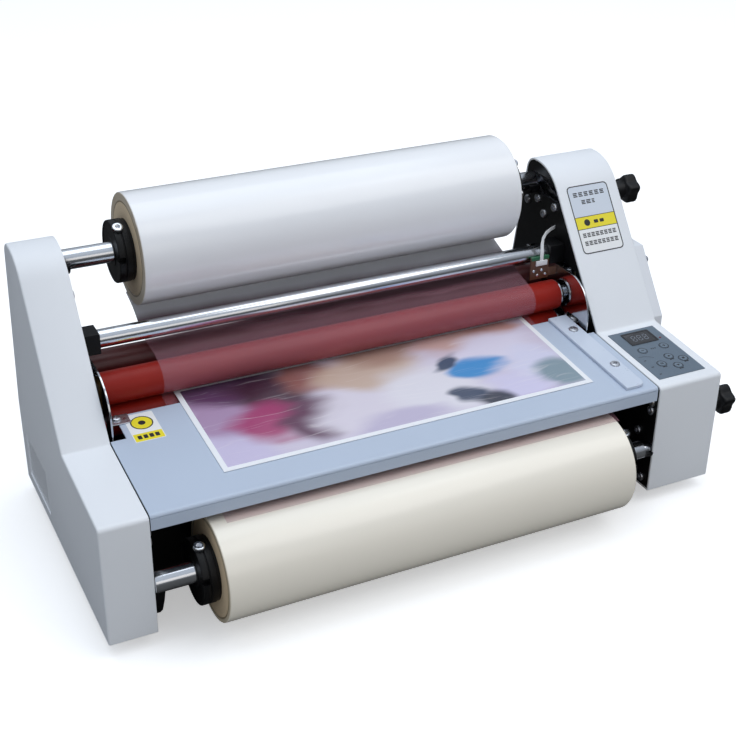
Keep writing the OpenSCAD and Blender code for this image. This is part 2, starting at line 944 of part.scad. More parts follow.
// Roller temperature sensor and its flat cable
module sensor_board() {
    color([0.3, 0.2, 0.14])
        seated() {
            box([180, 159.4, 148.5], [199.5, 161, 170.5]);
            box([199.5, 159.4, 150], [right_in - 8, 161, 158]);
            box([184, 158, 149], [190, 159.4, 153]);
        }
}
ribbon_w = 3.6;
ribbon_t = 0.5;
ribbon_route = [[191, 158.9, 164], [191, 159, 170], [191.2, 159.4, 175], [192.4, 162, 181],
    [196, 166.5, 185.5], [202, 171, 188], [209, 175, 188.8], [216.4, 178.5, 188.8]];
module sensor_ribbon() {
    color([0.93, 0.93, 0.93])
        seated()
            swept([for (i = [0:len(ribbon_route) - 1])
                let(
                    u = unit(ribbon_route[min(i + 1, len(ribbon_route) - 1)]
                        - ribbon_route[max(i - 1, 0)]),
                    n = unit(cross(u, [u.z, 0, -u.x])),
                    w = unit(cross(n, u)),
                    p = ribbon_route[i])
                [p - w * ribbon_w / 2 - n * ribbon_t / 2, p + w * ribbon_w / 2 - n * ribbon_t / 2,
                    p + w * ribbon_w / 2 + n * ribbon_t / 2,
                    p - w * ribbon_w / 2 + n * ribbon_t / 2]]);
}

// Mains inlet with its switch
module power_inlet() {
    color([0.08, 0.08, 0.08])
        seated()
            difference() {
                union() {
                    box([inlet_x - inlet_w / 2 + 0.1, casing_d - inlet_d, inlet_z - inlet_h / 2 + 0.1],
                        [inlet_x + inlet_w / 2 - 0.1, casing_d, inlet_z + inlet_h / 2 - 0.1]);
                    box([inlet_x - inlet_w / 2 - 2, casing_d, inlet_z - inlet_h / 2 - 2],
                        [inlet_x + inlet_w / 2 + 2, casing_d + 2, inlet_z + inlet_h / 2 + 2]);
                }
                box([inlet_x - 12, casing_d - 16, inlet_z - 20], [inlet_x + 12, casing_d + 3, inlet_z - 3]);
                box([inlet_x - rocker_w, casing_d - 12, rocker_z - 8],
                    [inlet_x + rocker_w, casing_d + 3, rocker_z + 8]);
            }
}
module power_rocker() {
    color([0.15, 0.15, 0.15])
        seated()
            along_x(inlet_x - rocker_w + 0.3, inlet_x + rocker_w - 0.3)
                translate([casing_d - 3, rocker_z])
                    rotate(-8)
                        polygon([[-4, -5], [4, -7], [3, 0], [4, 7], [-4, 5]]);
}

left_casing();
right_casing();
left_side_plate();
right_side_plate();
base_pan();
feed_table();
table_brackets();
side_guide();
frame_screws();
idler_bar();
idler_bar_blocks();
end_plates();
heater_tubes();
gear_motor();
shaft_seats();
brake_springs();
control_overlay();
display_window();
control_board();
sensor_board();
sensor_ribbon();
side_cover();
power_inlet();
rubber_feet();
upper_film_web();
lower_film_web();
front_bearing_blocks();
rear_bearing_blocks();
front_pressure_springs();
rear_pressure_springs();
front_upper_core();
front_upper_sleeve();
front_upper_gear();
front_lower_core();
front_lower_sleeve();
front_lower_gear();
rear_upper_roller();
rear_upper_gear();
rear_lower_roller();
rear_lower_gear();
idler_gear();
motor_pinion();
upper_supply_shaft();
upper_core_holders();
upper_core_tube();
upper_film_roll();
lower_supply_shaft();
lower_core_holders();
lower_core_tube();
lower_film_roll();
upper_tension_knob();
lower_tension_knob();
sample_print();
key_minus();
key_plus();
key_forward();
key_reverse();
key_stop();
key_heat();
power_rocker();
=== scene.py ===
import bpy
import bmesh
import random
from math import asin, atan, atan2, cos, degrees, hypot, pi, radians, sin, tan
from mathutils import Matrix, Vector


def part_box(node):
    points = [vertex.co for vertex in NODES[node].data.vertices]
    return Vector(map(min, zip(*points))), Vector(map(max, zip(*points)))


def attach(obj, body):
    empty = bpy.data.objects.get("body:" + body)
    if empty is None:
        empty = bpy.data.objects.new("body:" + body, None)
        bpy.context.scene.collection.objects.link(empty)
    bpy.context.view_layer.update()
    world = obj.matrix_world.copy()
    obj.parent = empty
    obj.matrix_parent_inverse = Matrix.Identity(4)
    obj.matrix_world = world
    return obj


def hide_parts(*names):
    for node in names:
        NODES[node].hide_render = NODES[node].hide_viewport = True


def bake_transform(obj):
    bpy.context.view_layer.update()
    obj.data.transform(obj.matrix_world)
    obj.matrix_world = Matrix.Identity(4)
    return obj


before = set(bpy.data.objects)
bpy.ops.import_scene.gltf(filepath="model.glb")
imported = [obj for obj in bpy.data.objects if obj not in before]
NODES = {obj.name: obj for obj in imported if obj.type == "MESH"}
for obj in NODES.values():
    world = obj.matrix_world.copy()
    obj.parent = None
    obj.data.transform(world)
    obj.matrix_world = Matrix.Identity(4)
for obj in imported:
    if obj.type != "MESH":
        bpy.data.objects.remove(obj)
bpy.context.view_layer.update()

# ---------------------------------------------------------------- places
# Lengths below are in millimetres in the machine's own frame: X right, Y back
# from the casing fronts, Z up from the casing floors. ORIGIN is where that
# frame sits, taken from the left casing's lowest corner.
MM = 0.001
LEFT_OUT = -280.0
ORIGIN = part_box("left_casing")[0] - Vector((LEFT_OUT, 0, 0)) * MM


def at(x, y, z):
    return ORIGIN + Vector((x, y, z)) * MM


def span(node):
    """Lowest and highest corner of a CAD node, in the machine's millimetres."""
    low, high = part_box(node)
    return (low - ORIGIN) / MM, (high - ORIGIN) / MM


def axis_of(node):
    """The (y, z) of a turned node's axis."""
    low, high = span(node)
    return (low.y + high.y) / 2, (low.z + high.z) / 2


def radius_of(node):
    low, high = span(node)
    return (high.z - low.z) / 2


LEFT_IN = span("left_casing")[1].x
RIGHT_IN = span("right_casing")[0].x
RIGHT_OUT = span("right_casing")[1].x
CASING_D = span("right_casing")[1].y
WALL = 2.0
DECK_H = 106.4
DECK_RISE = 0.0778
KINK_Y = 97.6
KINK_Z = DECK_H + DECK_RISE * KINK_Y
SLOPE = radians(53.3)
CREST_Y = 194.2
CREST_Z = KINK_Z + tan(SLOPE) * (CREST_Y - KINK_Y)
CREST_FALL = -0.03
DECK_TILT = atan(DECK_RISE)
UPPER = axis_of("upper_film_roll")
LOWER = axis_of("lower_film_roll")
BAR = axis_of("idler_bar")
FRONT_UP = axis_of("front_upper_sleeve")
FRONT_LOW = axis_of("front_lower_sleeve")
REAR_UP = axis_of("rear_upper_roller")
REAR_LOW = axis_of("rear_lower_roller")
ROLLER_R = radius_of("front_upper_sleeve")


def deck_z(y):
    return DECK_H + DECK_RISE * y


def on_deck(x, y, up=0.0):
    """A point above the deck plane, with y measured where the plane is met."""
    return (x, y - up * sin(DECK_TILT), deck_z(y) + up * cos(DECK_TILT))


def on_slope(x, s, up=0.0):
    """A point above the casing's steep slope, s from the kink along it."""
    return (x, KINK_Y + s * cos(SLOPE) - up * sin(SLOPE),
            KINK_Z + s * sin(SLOPE) + up * cos(SLOPE))


# ------------------------------------------------------------- materials
def srgb(*rgb):
    """A display colour, 0 to 255 a channel, as the linear colour that shaders take."""
    units = [v / 255 for v in rgb]
    return tuple(v / 12.92 if v <= 0.04045 else ((v + 0.055) / 1.055) ** 2.4
                 for v in units) + (1.0,)


def shade(color, k):
    return tuple(min(1.0, c * k) for c in color[:3]) + (1.0,)


def fill(tree, node, **sockets):
    """Links or sets inputs: iN is the Nth, any other key is an input's name."""
    for key, value in sockets.items():
        name = int(key[1:]) if key[1:].isdigit() else key.replace("_", " ")
        if isinstance(value, bpy.types.NodeSocket):
            tree.links.new(value, node.inputs[name])
        else:
            node.inputs[name].default_value = value
    return node


def having(thing, **settings):
    for key, value in settings.items():
        setattr(thing, key, value)
    return thing


def put(tree, kind, settings=None, **sockets):
    made = having(tree.nodes.new("ShaderNode" + kind), **(settings or {}))
    return fill(tree, made, **sockets)


def math_node(tree, operation, a, b=0.0):
    return put(tree, "Math", {"operation": operation}, i0=a, i1=b).outputs[0]


def vector_node(tree, operation, a, b, **more):
    return put(tree, "VectorMath", {"operation": operation}, i0=a, i1=b, **more).outputs


def blend_colors(tree, factor, a, b):
    return put(tree, "Mix", {"data_type": "RGBA"}, i0=factor, i6=a, i7=b).outputs[2]


def tinted(tree, base, value, low, high, other, most=1.0):
    """base, turning into other as value goes from low to high."""
    return blend_colors(tree, ramp(tree, value, low, high, 0, most), base, other)


def ramp(tree, value, low, high, out_low=0.0, out_high=1.0, kind="LINEAR"):
    made = put(tree, "MapRange", {"interpolation_type": kind}, Value=value, From_Min=low,
               From_Max=high, To_Min=out_low, To_Max=out_high)
    return made.outputs[0]


def noise(tree, vector, scale, detail, rough):
    return put(tree, "TexNoise", Vector=vector, Scale=scale, Detail=detail,
               Roughness=rough).outputs[0]


def noise_line(tree, along, scale, detail, rough):
    """Noise that changes with one number only."""
    return put(tree, "TexNoise", {"noise_dimensions": "1D"}, W=along, Scale=scale,
               Detail=detail, Roughness=rough).outputs[0]


def object_point(tree):
    return put(tree, "TexCoord").outputs["Object"]


def stretched(tree, vector, scale, **more):
    return put(tree, "Mapping", Vector=vector, Scale=scale, **more).outputs[0]


def relief(tree, shader, height, strength, distance=0.0002):
    """Bump on the shader, over any that it has."""
    bump = put(tree, "Bump", Strength=strength, Distance=distance, Height=height)
    normal = shader.inputs["Normal"]
    if normal.links:
        tree.links.new(normal.links[0].from_socket, bump.inputs["Normal"])
    tree.links.new(bump.outputs[0], normal)


def new_material(name, roughness=0.5, metallic=0.0, **plain):
    mat = bpy.data.materials.new(name)
    mat.use_nodes = True
    tree = mat.node_tree
    shader = fill(tree, tree.nodes["Principled BSDF"], Roughness=roughness,
                  Metallic=metallic, **plain)
    return mat, tree, shader


def surface(name, color, rough, metallic=0.0, mottle=0.03, patch=14.0, grain=900.0,
            bump=0.02, swing=0.05, stretch=(1, 1, 1), marks=0.0, marks_stretch=(6, 300, 300),
            dust=0.0, **plain):
    """A finish with uneven colour, grain, uneven gloss and fine handling marks."""
    mat, tree, shader = new_material(name, rough, metallic, **plain)
    coord = object_point(tree)
    moved = stretched(tree, coord, stretch)
    patches = noise(tree, coord, patch, 4.0, 0.55)
    tint = tinted(tree, shade(color, 1 - mottle), patches, 0.3, 0.7, shade(color, 1 + mottle))
    gloss = ramp(tree, noise(tree, moved, grain / 9, 4.0, 0.6), 0.25, 0.75,
                 rough - swing, rough + swing)
    if dust:
        specks = noise(tree, coord, grain * 1.7, 2.0, 0.5)
        tint = tinted(tree, tint, specks, 0.69, 0.74, shade(color, 0.55), dust)
    if marks:
        lines = stretched(tree, coord, marks_stretch, Rotation=(0.15, 0.1, 0.4))
        drawn = ramp(tree, noise(tree, lines, 3.0, 5.0, 0.65), 0.6, 0.75, 0, marks)
        gloss = math_node(tree, "ADD", gloss, math_node(tree, "MULTIPLY", drawn, 0.5))
        tint = blend_colors(tree, drawn, tint, shade(color, 0.82))
    fill(tree, shader, Base_Color=tint, Roughness=gloss)
    relief(tree, shader, noise(tree, moved, grain, 3.0, 0.6), bump * 10)
    return mat


def radius_from(tree, center):
    """Point, x and distance from the line along X through center."""
    coord = object_point(tree)
    parts = put(tree, "SeparateXYZ", Vector=coord)
    middle = at(0, *center)
    dy = math_node(tree, "SUBTRACT", parts.outputs[1], middle.y)
    dz = math_node(tree, "SUBTRACT", parts.outputs[2], middle.z)
    square = math_node(tree, "ADD", math_node(tree, "MULTIPLY", dy, dy),
                       math_node(tree, "MULTIPLY", dz, dz))
    return coord, parts.outputs[0], math_node(tree, "SQRT", square)


CORE_SEAM_R = 40.0


def wound_film(name, center, body_color, edge_color, ring_color):
    """Film wound on a core: glossy outside, layered and duller on its ends."""
    mat, tree, shader = new_material(name, Coat_Weight=0.7, Coat_Roughness=0.14)
    coord, x, r = radius_from(tree, center)
    on_end = ramp(tree, math_node(tree, "ABSOLUTE", put(
        tree, "SeparateXYZ", Vector=put(tree, "NewGeometry").outputs["Normal"]).outputs[0]),
        0.55, 0.8)
    layers = noise_line(tree, r, 2600.0, 3.0, 0.7)
    wide = noise_line(tree, r, 420.0, 2.0, 0.6)
    patches = noise(tree, coord, 26.0, 3.0, 0.55)
    edge = tinted(tree, edge_color, wide, 0.35, 0.7, shade(edge_color, 0.86))
    edge = tinted(tree, edge, layers, 0.45, 0.75, shade(edge_color, 0.7), 0.35)
    edge = tinted(tree, edge, patches, 0.4, 0.75, ring_color, 0.5)
    seam = ramp(tree, math_node(tree, "ABSOLUTE", math_node(
        tree, "SUBTRACT", r, CORE_SEAM_R * MM)), 0.0004, 0.0011, 1, 0)
    edge = blend_colors(tree, seam, edge, shade(ring_color, 0.62))
    bands = noise_line(tree, x, 18.0, 1.0, 0.5)
    side = tinted(tree, shade(body_color, 0.992), bands, 0.3, 0.7, body_color)
    haze = noise(tree, coord, 8.0, 0.0, 0.4)
    side = tinted(tree, side, haze, 0.3, 0.7, shade(body_color, 0.96), 0.3)
    fill(tree, shader, Base_Color=blend_colors(tree, on_end, side, edge),
         Roughness=ramp(tree, on_end, 0, 1, 0.27, 0.57))
    relief(tree, shader, math_node(tree, "MULTIPLY", layers, on_end), 0.5)
    relief(tree, shader, noise(tree, stretched(tree, coord, (4, 40, 40)), 1.0, 2.0, 0.4),
           0.06, 0.0008)
    return mat


def clear_film(name):
    """Clear on the rollers; above them a painted shadow band under the idler bar, then painted
    grey shade up to the roll.
    """
    mat, tree, shader = new_material(name, 0.22, Specular_IOR_Level=0.3)
    z = put(tree, "SeparateXYZ", Vector=object_point(tree)).outputs[2]
    painted_shade_start = ramp(tree, z, at(0, 0, 152).z, at(0, 0, 154.5).z)
    shadow_band_end = ramp(tree, z, at(0, 0, 161).z, at(0, 0, 166).z)
    # free holds painted shade: a dark painted shadow band under the idler bar turns into painted
    # grey shade of the film higher up, made more opaque so that it shows.
    free = blend_colors(tree, shadow_band_end, srgb(104, 72, 80), srgb(170, 170, 178))
    solid = math_node(tree, "SUBTRACT", painted_shade_start, math_node(tree, "MULTIPLY", shadow_band_end, 0.24))
    fill(tree, shader, Base_Color=blend_colors(tree, painted_shade_start, srgb(206, 152, 166), free),
         Alpha=ramp(tree, solid, 0, 1, 0.14, 0.92))
    return mat


def core_paper(name, center, color):
    """A tube wound from card: plies on its ends, fibres and stains."""
    mat, tree, shader = new_material(name, 0.8)
    coord, _, r = radius_from(tree, center)
    plies = noise_line(tree, r, 1500.0, 2.0, 0.6)
    fibres = noise(tree, coord, 900.0, 4.0, 0.7)
    stain = noise(tree, coord, 30.0, 3.0, 0.6)
    tint = tinted(tree, color, plies, 0.35, 0.7, shade(color, 0.84))
    tint = tinted(tree, tint, fibres, 0.5, 0.8, shade(color, 0.72), 0.4)
    tint = tinted(tree, tint, stain, 0.45, 0.8, shade(color, 0.78), 0.45)
    fill(tree, shader, Base_Color=tint, Roughness=ramp(tree, fibres, 0.3, 0.7, 0.72, 0.9))
    relief(tree, shader, math_node(tree, "ADD", plies, fibres), 0.4)
    return mat


# The print's patches: where across and along the sheet, half width, half height
# and colour. Lengths are parts of the sheet.
PATCHES = [
    (0.03, 0.20, 0.14, 0.60, (206, 196, 226)), (0.08, 0.60, 0.14, 0.40, (172, 140, 176)),
    (0.10, 0.92, 0.18, 0.30, (84, 44, 84)), (0.22, 0.74, 0.14, 0.36, (62, 30, 48)),
    (0.17, 0.42, 0.11, 0.30, (168, 52, 108)), (0.27, 0.34, 0.10, 0.34, (96, 58, 84)),
    (0.33, 0.86, 0.12, 0.30, (150, 98, 92)), (0.40, 0.30, 0.17, 0.50, (226, 218, 230)),
    (0.48, 0.74, 0.18, 0.34, (204, 178, 160)), (0.60, 0.34, 0.18, 0.48, (232, 228, 236)),
    (0.56, 0.94, 0.14, 0.20, (176, 142, 128)), (0.47, 0.04, 0.18, 0.20, (196, 186, 212)),
    (0.74, 0.88, 0.13, 0.24, (206, 168, 160)), (0.88, 0.92, 0.11, 0.22, (196, 150, 140)),
    (0.84, 0.66, 0.16, 0.26, (226, 220, 238)), (0.76, 0.46, 0.08, 0.17, (34, 140, 206)),
    (0.70, 0.60, 0.05, 0.12, (30, 60, 92)), (0.90, 0.40, 0.12, 0.24, (220, 218, 240)),
    (0.95, 0.20, 0.09, 0.22, (128, 150, 160)), (0.80, 0.16, 0.12, 0.20, (216, 210, 238)),
    (0.72, 0.10, 0.07, 0.16, (26, 36, 54)), (0.66, 0.22, 0.06, 0.13, (40, 60, 90)),
    (0.84, 0.02, 0.12, 0.10, (196, 180, 220)),
]
PRINT_MARGIN = 4.6


def abstract_print(name):
    """A printed sheet: a soft abstract of coloured patches inside a white margin."""
    mat, tree, shader = new_material(name, Coat_Weight=0.25, Coat_Roughness=0.18)
    coord = object_point(tree)
    low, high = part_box("sample_print")
    mid, size = (low + high) / 2, high - low
    unit = stretched(tree, coord, (1 / size.x, 1 / size.y, 0),
                     Location=(-low.x / size.x, -low.y / size.y, 0))
    warp = put(tree, "TexNoise", Vector=unit, Scale=3.2, Detail=2.5, Roughness=0.5)
    shift = vector_node(tree, "MULTIPLY_ADD", warp.outputs[1], (0.2, 0.34, 0.0), i2=unit)[0]
    shift = vector_node(tree, "SUBTRACT", shift, (0.1, 0.17, 0.0))[0]
    color = srgb(214, 204, 222)
    for u, v, wide, tall, tone in PATCHES:
        gap = vector_node(tree, "SUBTRACT", shift, (u, v, 0))[0]
        gap = vector_node(tree, "MULTIPLY", gap, (1 / wide, 1 / tall, 0))[0]
        reach = vector_node(tree, "LENGTH", gap, (0, 0, 0))[1]
        color = blend_colors(tree, ramp(tree, reach, 0.45, 1.0, 0.94, 0.0, "SMOOTHSTEP"), color,
                             srgb(*tone))
    strands = noise(tree, stretched(tree, shift, (5, 46, 1), Rotation=(0, 0, 0.6)), 1.0, 4.0, 0.6)
    color = tinted(tree, color, strands, 0.58, 0.78, srgb(246, 240, 242), 0.4)
    parts = put(tree, "SeparateXYZ", Vector=coord)
    within = [math_node(tree, "LESS_THAN", math_node(tree, "ABSOLUTE", math_node(
        tree, "SUBTRACT", parts.outputs[k], mid[k])), size[k] / 2 - PRINT_MARGIN * MM)
        for k in (0, 1)]
    color = blend_colors(tree, math_node(tree, "MULTIPLY", *within), srgb(246, 247, 250), color)
    tooth = noise(tree, coord, 1400.0, 2.0, 0.5)
    fill(tree, shader, Base_Color=color, Roughness=ramp(tree, tooth, 0.3, 0.7, 0.3, 0.4))
    relief(tree, shader, tooth, 0.08, 0.0001)
    return mat


# Colour, roughness, and what differs from surface()'s own settings.
FINISHES = {
    "casing_paint": ((238, 240, 244), 0.42, dict(
        mottle=0.012, patch=9, grain=1600, bump=0.035, marks=0.04, Coat_Weight=0.15,
        Coat_Roughness=0.25)),
    "cover_paint": ((233, 235, 240), 0.45, dict(
        mottle=0.012, patch=9, grain=1600, bump=0.035, marks=0.04)),
    "frame_black": ((13, 13, 15), 0.42, dict(
        mottle=0.12, grain=1300, bump=0.05, swing=0.08, marks=0.12, dust=0.1,
        Specular_IOR_Level=0.3)),
    "table_paint": ((190, 202, 220), 0.36, dict(
        mottle=0.015, patch=8, grain=1500, bump=0.03, marks=0.06, Coat_Weight=0.2,
        Coat_Roughness=0.2)),
    "bright_steel": ((222, 224, 228), 0.17, dict(
        metallic=1.0, grain=500, bump=0.006, swing=0.03, stretch=(0.2, 3, 3), marks=0.12)),
    "zinc_steel": ((196, 198, 204), 0.3, dict(
        metallic=1.0, mottle=0.08, patch=160, grain=1400, bump=0.03, swing=0.1)),
    "mirror_steel": ((206, 208, 212), 0.1, dict(
        metallic=1.0, mottle=0.05, grain=700, bump=0.008, swing=0.04, stretch=(1, 6, 1),
        marks=0.2)),
    "guide_plastic": ((208, 217, 232), 0.3, dict(
        mottle=0.012, grain=1200, bump=0.012, swing=0.04, Coat_Weight=0.3,
        Coat_Roughness=0.15)),
    "red_rubber": ((148, 30, 20), 0.42, dict(
        mottle=0.07, patch=22, grain=1500, bump=0.03, swing=0.08, stretch=(3, 1, 1), marks=0.12,
        marks_stretch=(300, 8, 8), dust=0.1, Specular_IOR_Level=0.25)),
    # The rear rollers' rubber: the front rollers' red, painted darker as painted shade for the
    # shadow under the idler bar and film.
    "dark_red_rubber": ((84, 25, 25), 0.4, dict(
        mottle=0.08, patch=22, grain=1500, bump=0.03, swing=0.08, marks=0.12,
        marks_stretch=(300, 8, 8))),
    "black_plastic": ((9, 9, 11), 0.42, dict(
        mottle=0.1, patch=60, grain=1100, bump=0.06, swing=0.08, Specular_IOR_Level=0.3)),
    "ivory_plastic": ((226, 220, 200), 0.45, dict(mottle=0.04, patch=50, bump=0.03)),
    "bronze": ((172, 134, 84), 0.4, dict(
        metallic=1.0, mottle=0.1, patch=200, grain=1800, bump=0.08, swing=0.1)),
    "spring_steel": ((172, 176, 184), 0.28, dict(
        metallic=1.0, mottle=0.08, patch=90, swing=0.08)),
    "motor_black": ((58, 58, 62), 0.45, dict(mottle=0.08, grain=1200, bump=0.05)),
    "quartz": ((236, 234, 226), 0.25, dict(mottle=0.05, patch=90)),
    "overlay_grey": ((100, 114, 128), 0.5, dict(
        mottle=0.02, patch=30, grain=2200, bump=0.06, swing=0.06)),
    "key_grey": ((108, 122, 136), 0.46, dict(mottle=0.02, patch=60, grain=2200, bump=0.05)),
    "smoked_window": ((22, 20, 24), 0.12, dict(
        mottle=0.1, patch=60, grain=500, bump=0.004, swing=0.03, Coat_Weight=0.6,
        Coat_Roughness=0.05)),
    "board_green": ((44, 104, 72), 0.35, dict(mottle=0.08, patch=140, grain=700)),
    "board_brown": ((96, 66, 50), 0.4, dict(mottle=0.15, patch=160, grain=800, bump=0.03)),
    "cable_white": ((236, 236, 238), 0.4, dict(mottle=0.02, patch=60, bump=0.01)),
    "foot_rubber": ((34, 34, 34), 0.7, dict(mottle=0.1, patch=60, grain=800, bump=0.08)),
    "ink_black": ((30, 30, 34), 0.5, dict(mottle=0.06, grain=2000, bump=0.03)),
    "ink_grey": ((112, 118, 128), 0.5, dict(mottle=0.05, grain=2000, bump=0.03)),
    "ink_yellow": ((244, 226, 44), 0.42, dict(grain=2000, bump=0.03)),
    "ink_pale": ((214, 221, 232), 0.42, dict(mottle=0.02, grain=2000, bump=0.03)),
    "ink_white": ((244, 244, 244), 0.42, dict(mottle=0.02, grain=2000, bump=0.03)),
    "lens_red": ((120, 44, 48), 0.2, dict(
        mottle=0.05, bump=0.01, Coat_Weight=0.5, Coat_Roughness=0.05)),
}
M = {name: surface(name, srgb(*color), rough, **rest)
     for name, (color, rough, rest) in FINISHES.items()}
M["print_paper"] = abstract_print("print_paper")
M["upper_film"] = wound_film("upper_film", UPPER, srgb(250, 250, 252), srgb(232, 216, 192),
                             srgb(200, 176, 140))
M["lower_film"] = wound_film("lower_film", LOWER, srgb(255, 247, 232), srgb(230, 214, 186),
                             srgb(196, 172, 134))
M["upper_paper"] = core_paper("upper_paper", UPPER, srgb(222, 200, 168))
M["lower_paper"] = core_paper("lower_paper", LOWER, srgb(214, 190, 156))
M["web"] = clear_film("web")

# ---------------------------------------------------------------- shapes
# A solid is (points, faces) in the machine's millimetres. SHARP is in degrees.
SHARP = 32


def merge(*solids):
    points, faces = [], []
    for pts, fcs in solids:
        base = len(points)
        points += pts
        faces += [tuple(base + i for i in f) for f in fcs]
    return points, faces


def stack(rings, closed=False):
    """Rings of equal count joined side by side, capped unless closed on itself."""
    n = len(rings[0])
    points = [p for ring in rings for p in ring]
    faces = []
    last = len(rings) if closed else len(rings) - 1
    for i in range(last):
        a, b = i * n, (i + 1) % len(rings) * n
        faces += [(a + j, a + (j + 1) % n, b + (j + 1) % n, b + j) for j in range(n)]
    if not closed:
        faces += [tuple(range(n - 1, -1, -1)), tuple(range(last * n, last * n + n))]
    return points, faces


def lathe(levels, seg, place, outline=None, closed=False):
    """Rings of place(u, v, height), one for each (height, radius, kind) level.

    outline(radius, kind, angle) gives the true radius where kind isn't zero.
    """
    angles = [2 * pi * j / seg for j in range(seg)]
    rings = []
    for height, r, kind in levels:
        reach = [outline(r, kind, a) if kind else r for a in angles]
        rings.append([place(q * cos(a), q * sin(a), height) for q, a in zip(reach, angles)])
    return stack(rings, closed)


def around(center):
    """Places points by the line along X through center."""
    return lambda u, v, x: (x, center[0] + u, center[1] + v)


def revolve(profile, center, seg=96, closed=False):
    """Turns (x, r) points round the line along X through center."""
    return lathe([(x, r, 0) for x, r in profile], seg, around(center), None, closed)


def rod(x0, x1, center, r, chamfer=0.6, seg=96):
    """A round bar along X with broken edges."""
    s = 1 if x1 > x0 else -1
    return revolve([(x0, r - chamfer), (x0 + s * chamfer * 0.35, r - chamfer * 0.3),
                    (x0 + s * chamfer, r), (x1 - s * chamfer, r),
                    (x1 - s * chamfer * 0.35, r - chamfer * 0.3), (x1, r - chamfer)],
                   center, seg)


def tube(x0, x1, center, r, bore, c, seg):
    """A pipe along X with edges broken by c."""
    return revolve([(x0, bore + c * 0.5), (x0, r - c), (x0 + c * 0.35, r - c * 0.3), (x0 + c, r),
                    (x1 - c, r), (x1 - c * 0.35, r - c * 0.3), (x1, r - c), (x1, bore + c * 0.5),
                    (x1 - c * 0.5, bore), (x0 + c * 0.5, bore)], center, seg, True)


def block(low, high, r=0.6, seg=3):
    """A box whose twelve edges are rounded."""
    center = [(a + b) / 2 for a, b in zip(low, high)]
    half = [(b - a) / 2 for a, b in zip(low, high)]
    r = min(r, min(half) * 0.98)
    outline = []
    for sx, sy, a0 in ((1, 1, 0), (-1, 1, 90), (-1, -1, 180), (1, -1, 270)):
        for k in range(seg + 1):
            a = radians(a0 + 90 * k / seg)
            outline.append((sx, sy, cos(a), sin(a)))
    rings = []
    for k in range(2 * seg + 2):
        a = radians(-90 + 90 * (k if k <= seg else k - 1) / seg)
        z = (half[2] - r) * (-1 if k <= seg else 1) + r * sin(a)
        c = r * cos(a)
        rings.append([(center[0] + sx * (half[0] - r) + c * ux,
                       center[1] + sy * (half[1] - r) + c * uy, center[2] + z)
                      for sx, sy, ux, uy in outline])
    return stack(rings)


def slab(outline, place, h0, h1, edge=0.0):
    """An outline of (u, v) raised between two heights above place(u, v, height)."""
    n = len(outline)
    cu = sum(p[0] for p in outline) / n
    cv = sum(p[1] for p in outline) / n
    rings = [[place(u, v, h0) for u, v in outline]]
    if edge:
        rings.append([place(u, v, h1 - edge) for u, v in outline])
        tight = []
        for u, v in outline:
            d = hypot(u - cu, v - cv)
            k = max(0.0, 1 - edge / d) if d else 1
            tight.append((cu + (u - cu) * k, cv + (v - cv) * k))
        rings.append([place(u, v, h1) for u, v in tight])
    else:
        rings.append([place(u, v, h1) for u, v in outline])
    return stack(rings)


def rect(u0, v0, u1, v1, r=0.3, seg=3):
    """The outline of a rectangle with round corners."""
    out = []
    for cu, cv, a0 in ((u1 - r, v1 - r, 0), (u0 + r, v1 - r, 90), (u0 + r, v0 + r, 180),
                       (u1 - r, v0 + r, 270)):
        for k in range(seg + 1):
            a = radians(a0 + 90 * k / seg)
            out.append((cu + r * cos(a), cv + r * sin(a)))
    return out


def circle(u, v, r, seg=32):
    return [(u + r * cos(2 * pi * k / seg), v + r * sin(2 * pi * k / seg)) for k in range(seg)]


def ring_slab(outer, inner, place, h0, h1):
    """A flat frame between two outlines of equal count."""
    return stack([[place(u, v, h0) for u, v in inner], [place(u, v, h0) for u, v in outer],
                  [place(u, v, h1) for u, v in outer], [place(u, v, h1) for u, v in inner]],
                 True)


def normal_at(path, i):
    """The unit normal of an open path at its ith point."""
    a, b = path[max(i - 1, 0)], path[min(i + 1, len(path) - 1)]
    d = hypot(b[0] - a[0], b[1] - a[1])
    return -(b[1] - a[1]) / d, (b[0] - a[0]) / d


def stroke(path, width, place, h0, h1):
    """A line of even width drawn along (u, v) points."""
    left, right = [], []
    for i, (u, v) in enumerate(path):
        nu, nv = normal_at(path, i)
        left.append((u + nu * width / 2, v + nv * width / 2))
        right.append((u - nu * width / 2, v - nv * width / 2))
    return slab(right + left[::-1], place, h0, h1)


def linked(name, data):
    obj = bpy.data.objects.new(name, data)
    bpy.context.scene.collection.objects.link(obj)
    return obj


def mesh_of(name, solid):
    """A solid as a mesh in the shared frame, with its faces turned outward."""
    mesh = bpy.data.meshes.new(name)
    mesh.from_pydata([at(*p) for p in solid[0]], [], solid[1])
    tidy = bmesh.new()
    tidy.from_mesh(mesh)
    bmesh.ops.recalc_face_normals(tidy, faces=tidy.faces)
    tidy.to_mesh(mesh)
    tidy.free()
    return mesh


def smooth(mesh, sharp=SHARP):
    mesh.shade_smooth()
    mesh.set_sharp_from_angle(angle=radians(sharp))


def make(name, solid, material, body, stands_for=(), slot=None, sharp=SHARP):
    """A piece on a body; edges that turn more than sharp degrees stay crisp."""
    slot = slot or material
    mesh = mesh_of(name, solid)
    smooth(mesh, sharp)
    mesh.materials.append(M[material])
    obj = linked(name, mesh)
    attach(obj, body)
    if stands_for:
        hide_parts(*stands_for)
    return obj


def cut(obj, solid):
    """Takes a solid away from a piece and keeps the result as its mesh."""
    cutter = linked("cutter", mesh_of("cutter", solid))
    having(obj.modifiers.new("cut", "BOOLEAN"), operation="DIFFERENCE", solver="EXACT",
           object=cutter)
    done = bpy.data.meshes.new_from_object(
        obj.evaluated_get(bpy.context.evaluated_depsgraph_get()))
    obj.modifiers.clear()
    bpy.data.objects.remove(cutter)
    old, obj.data = obj.data, done
    name = old.name
    bpy.data.meshes.remove(old)
    done.name = name
    smooth(done)


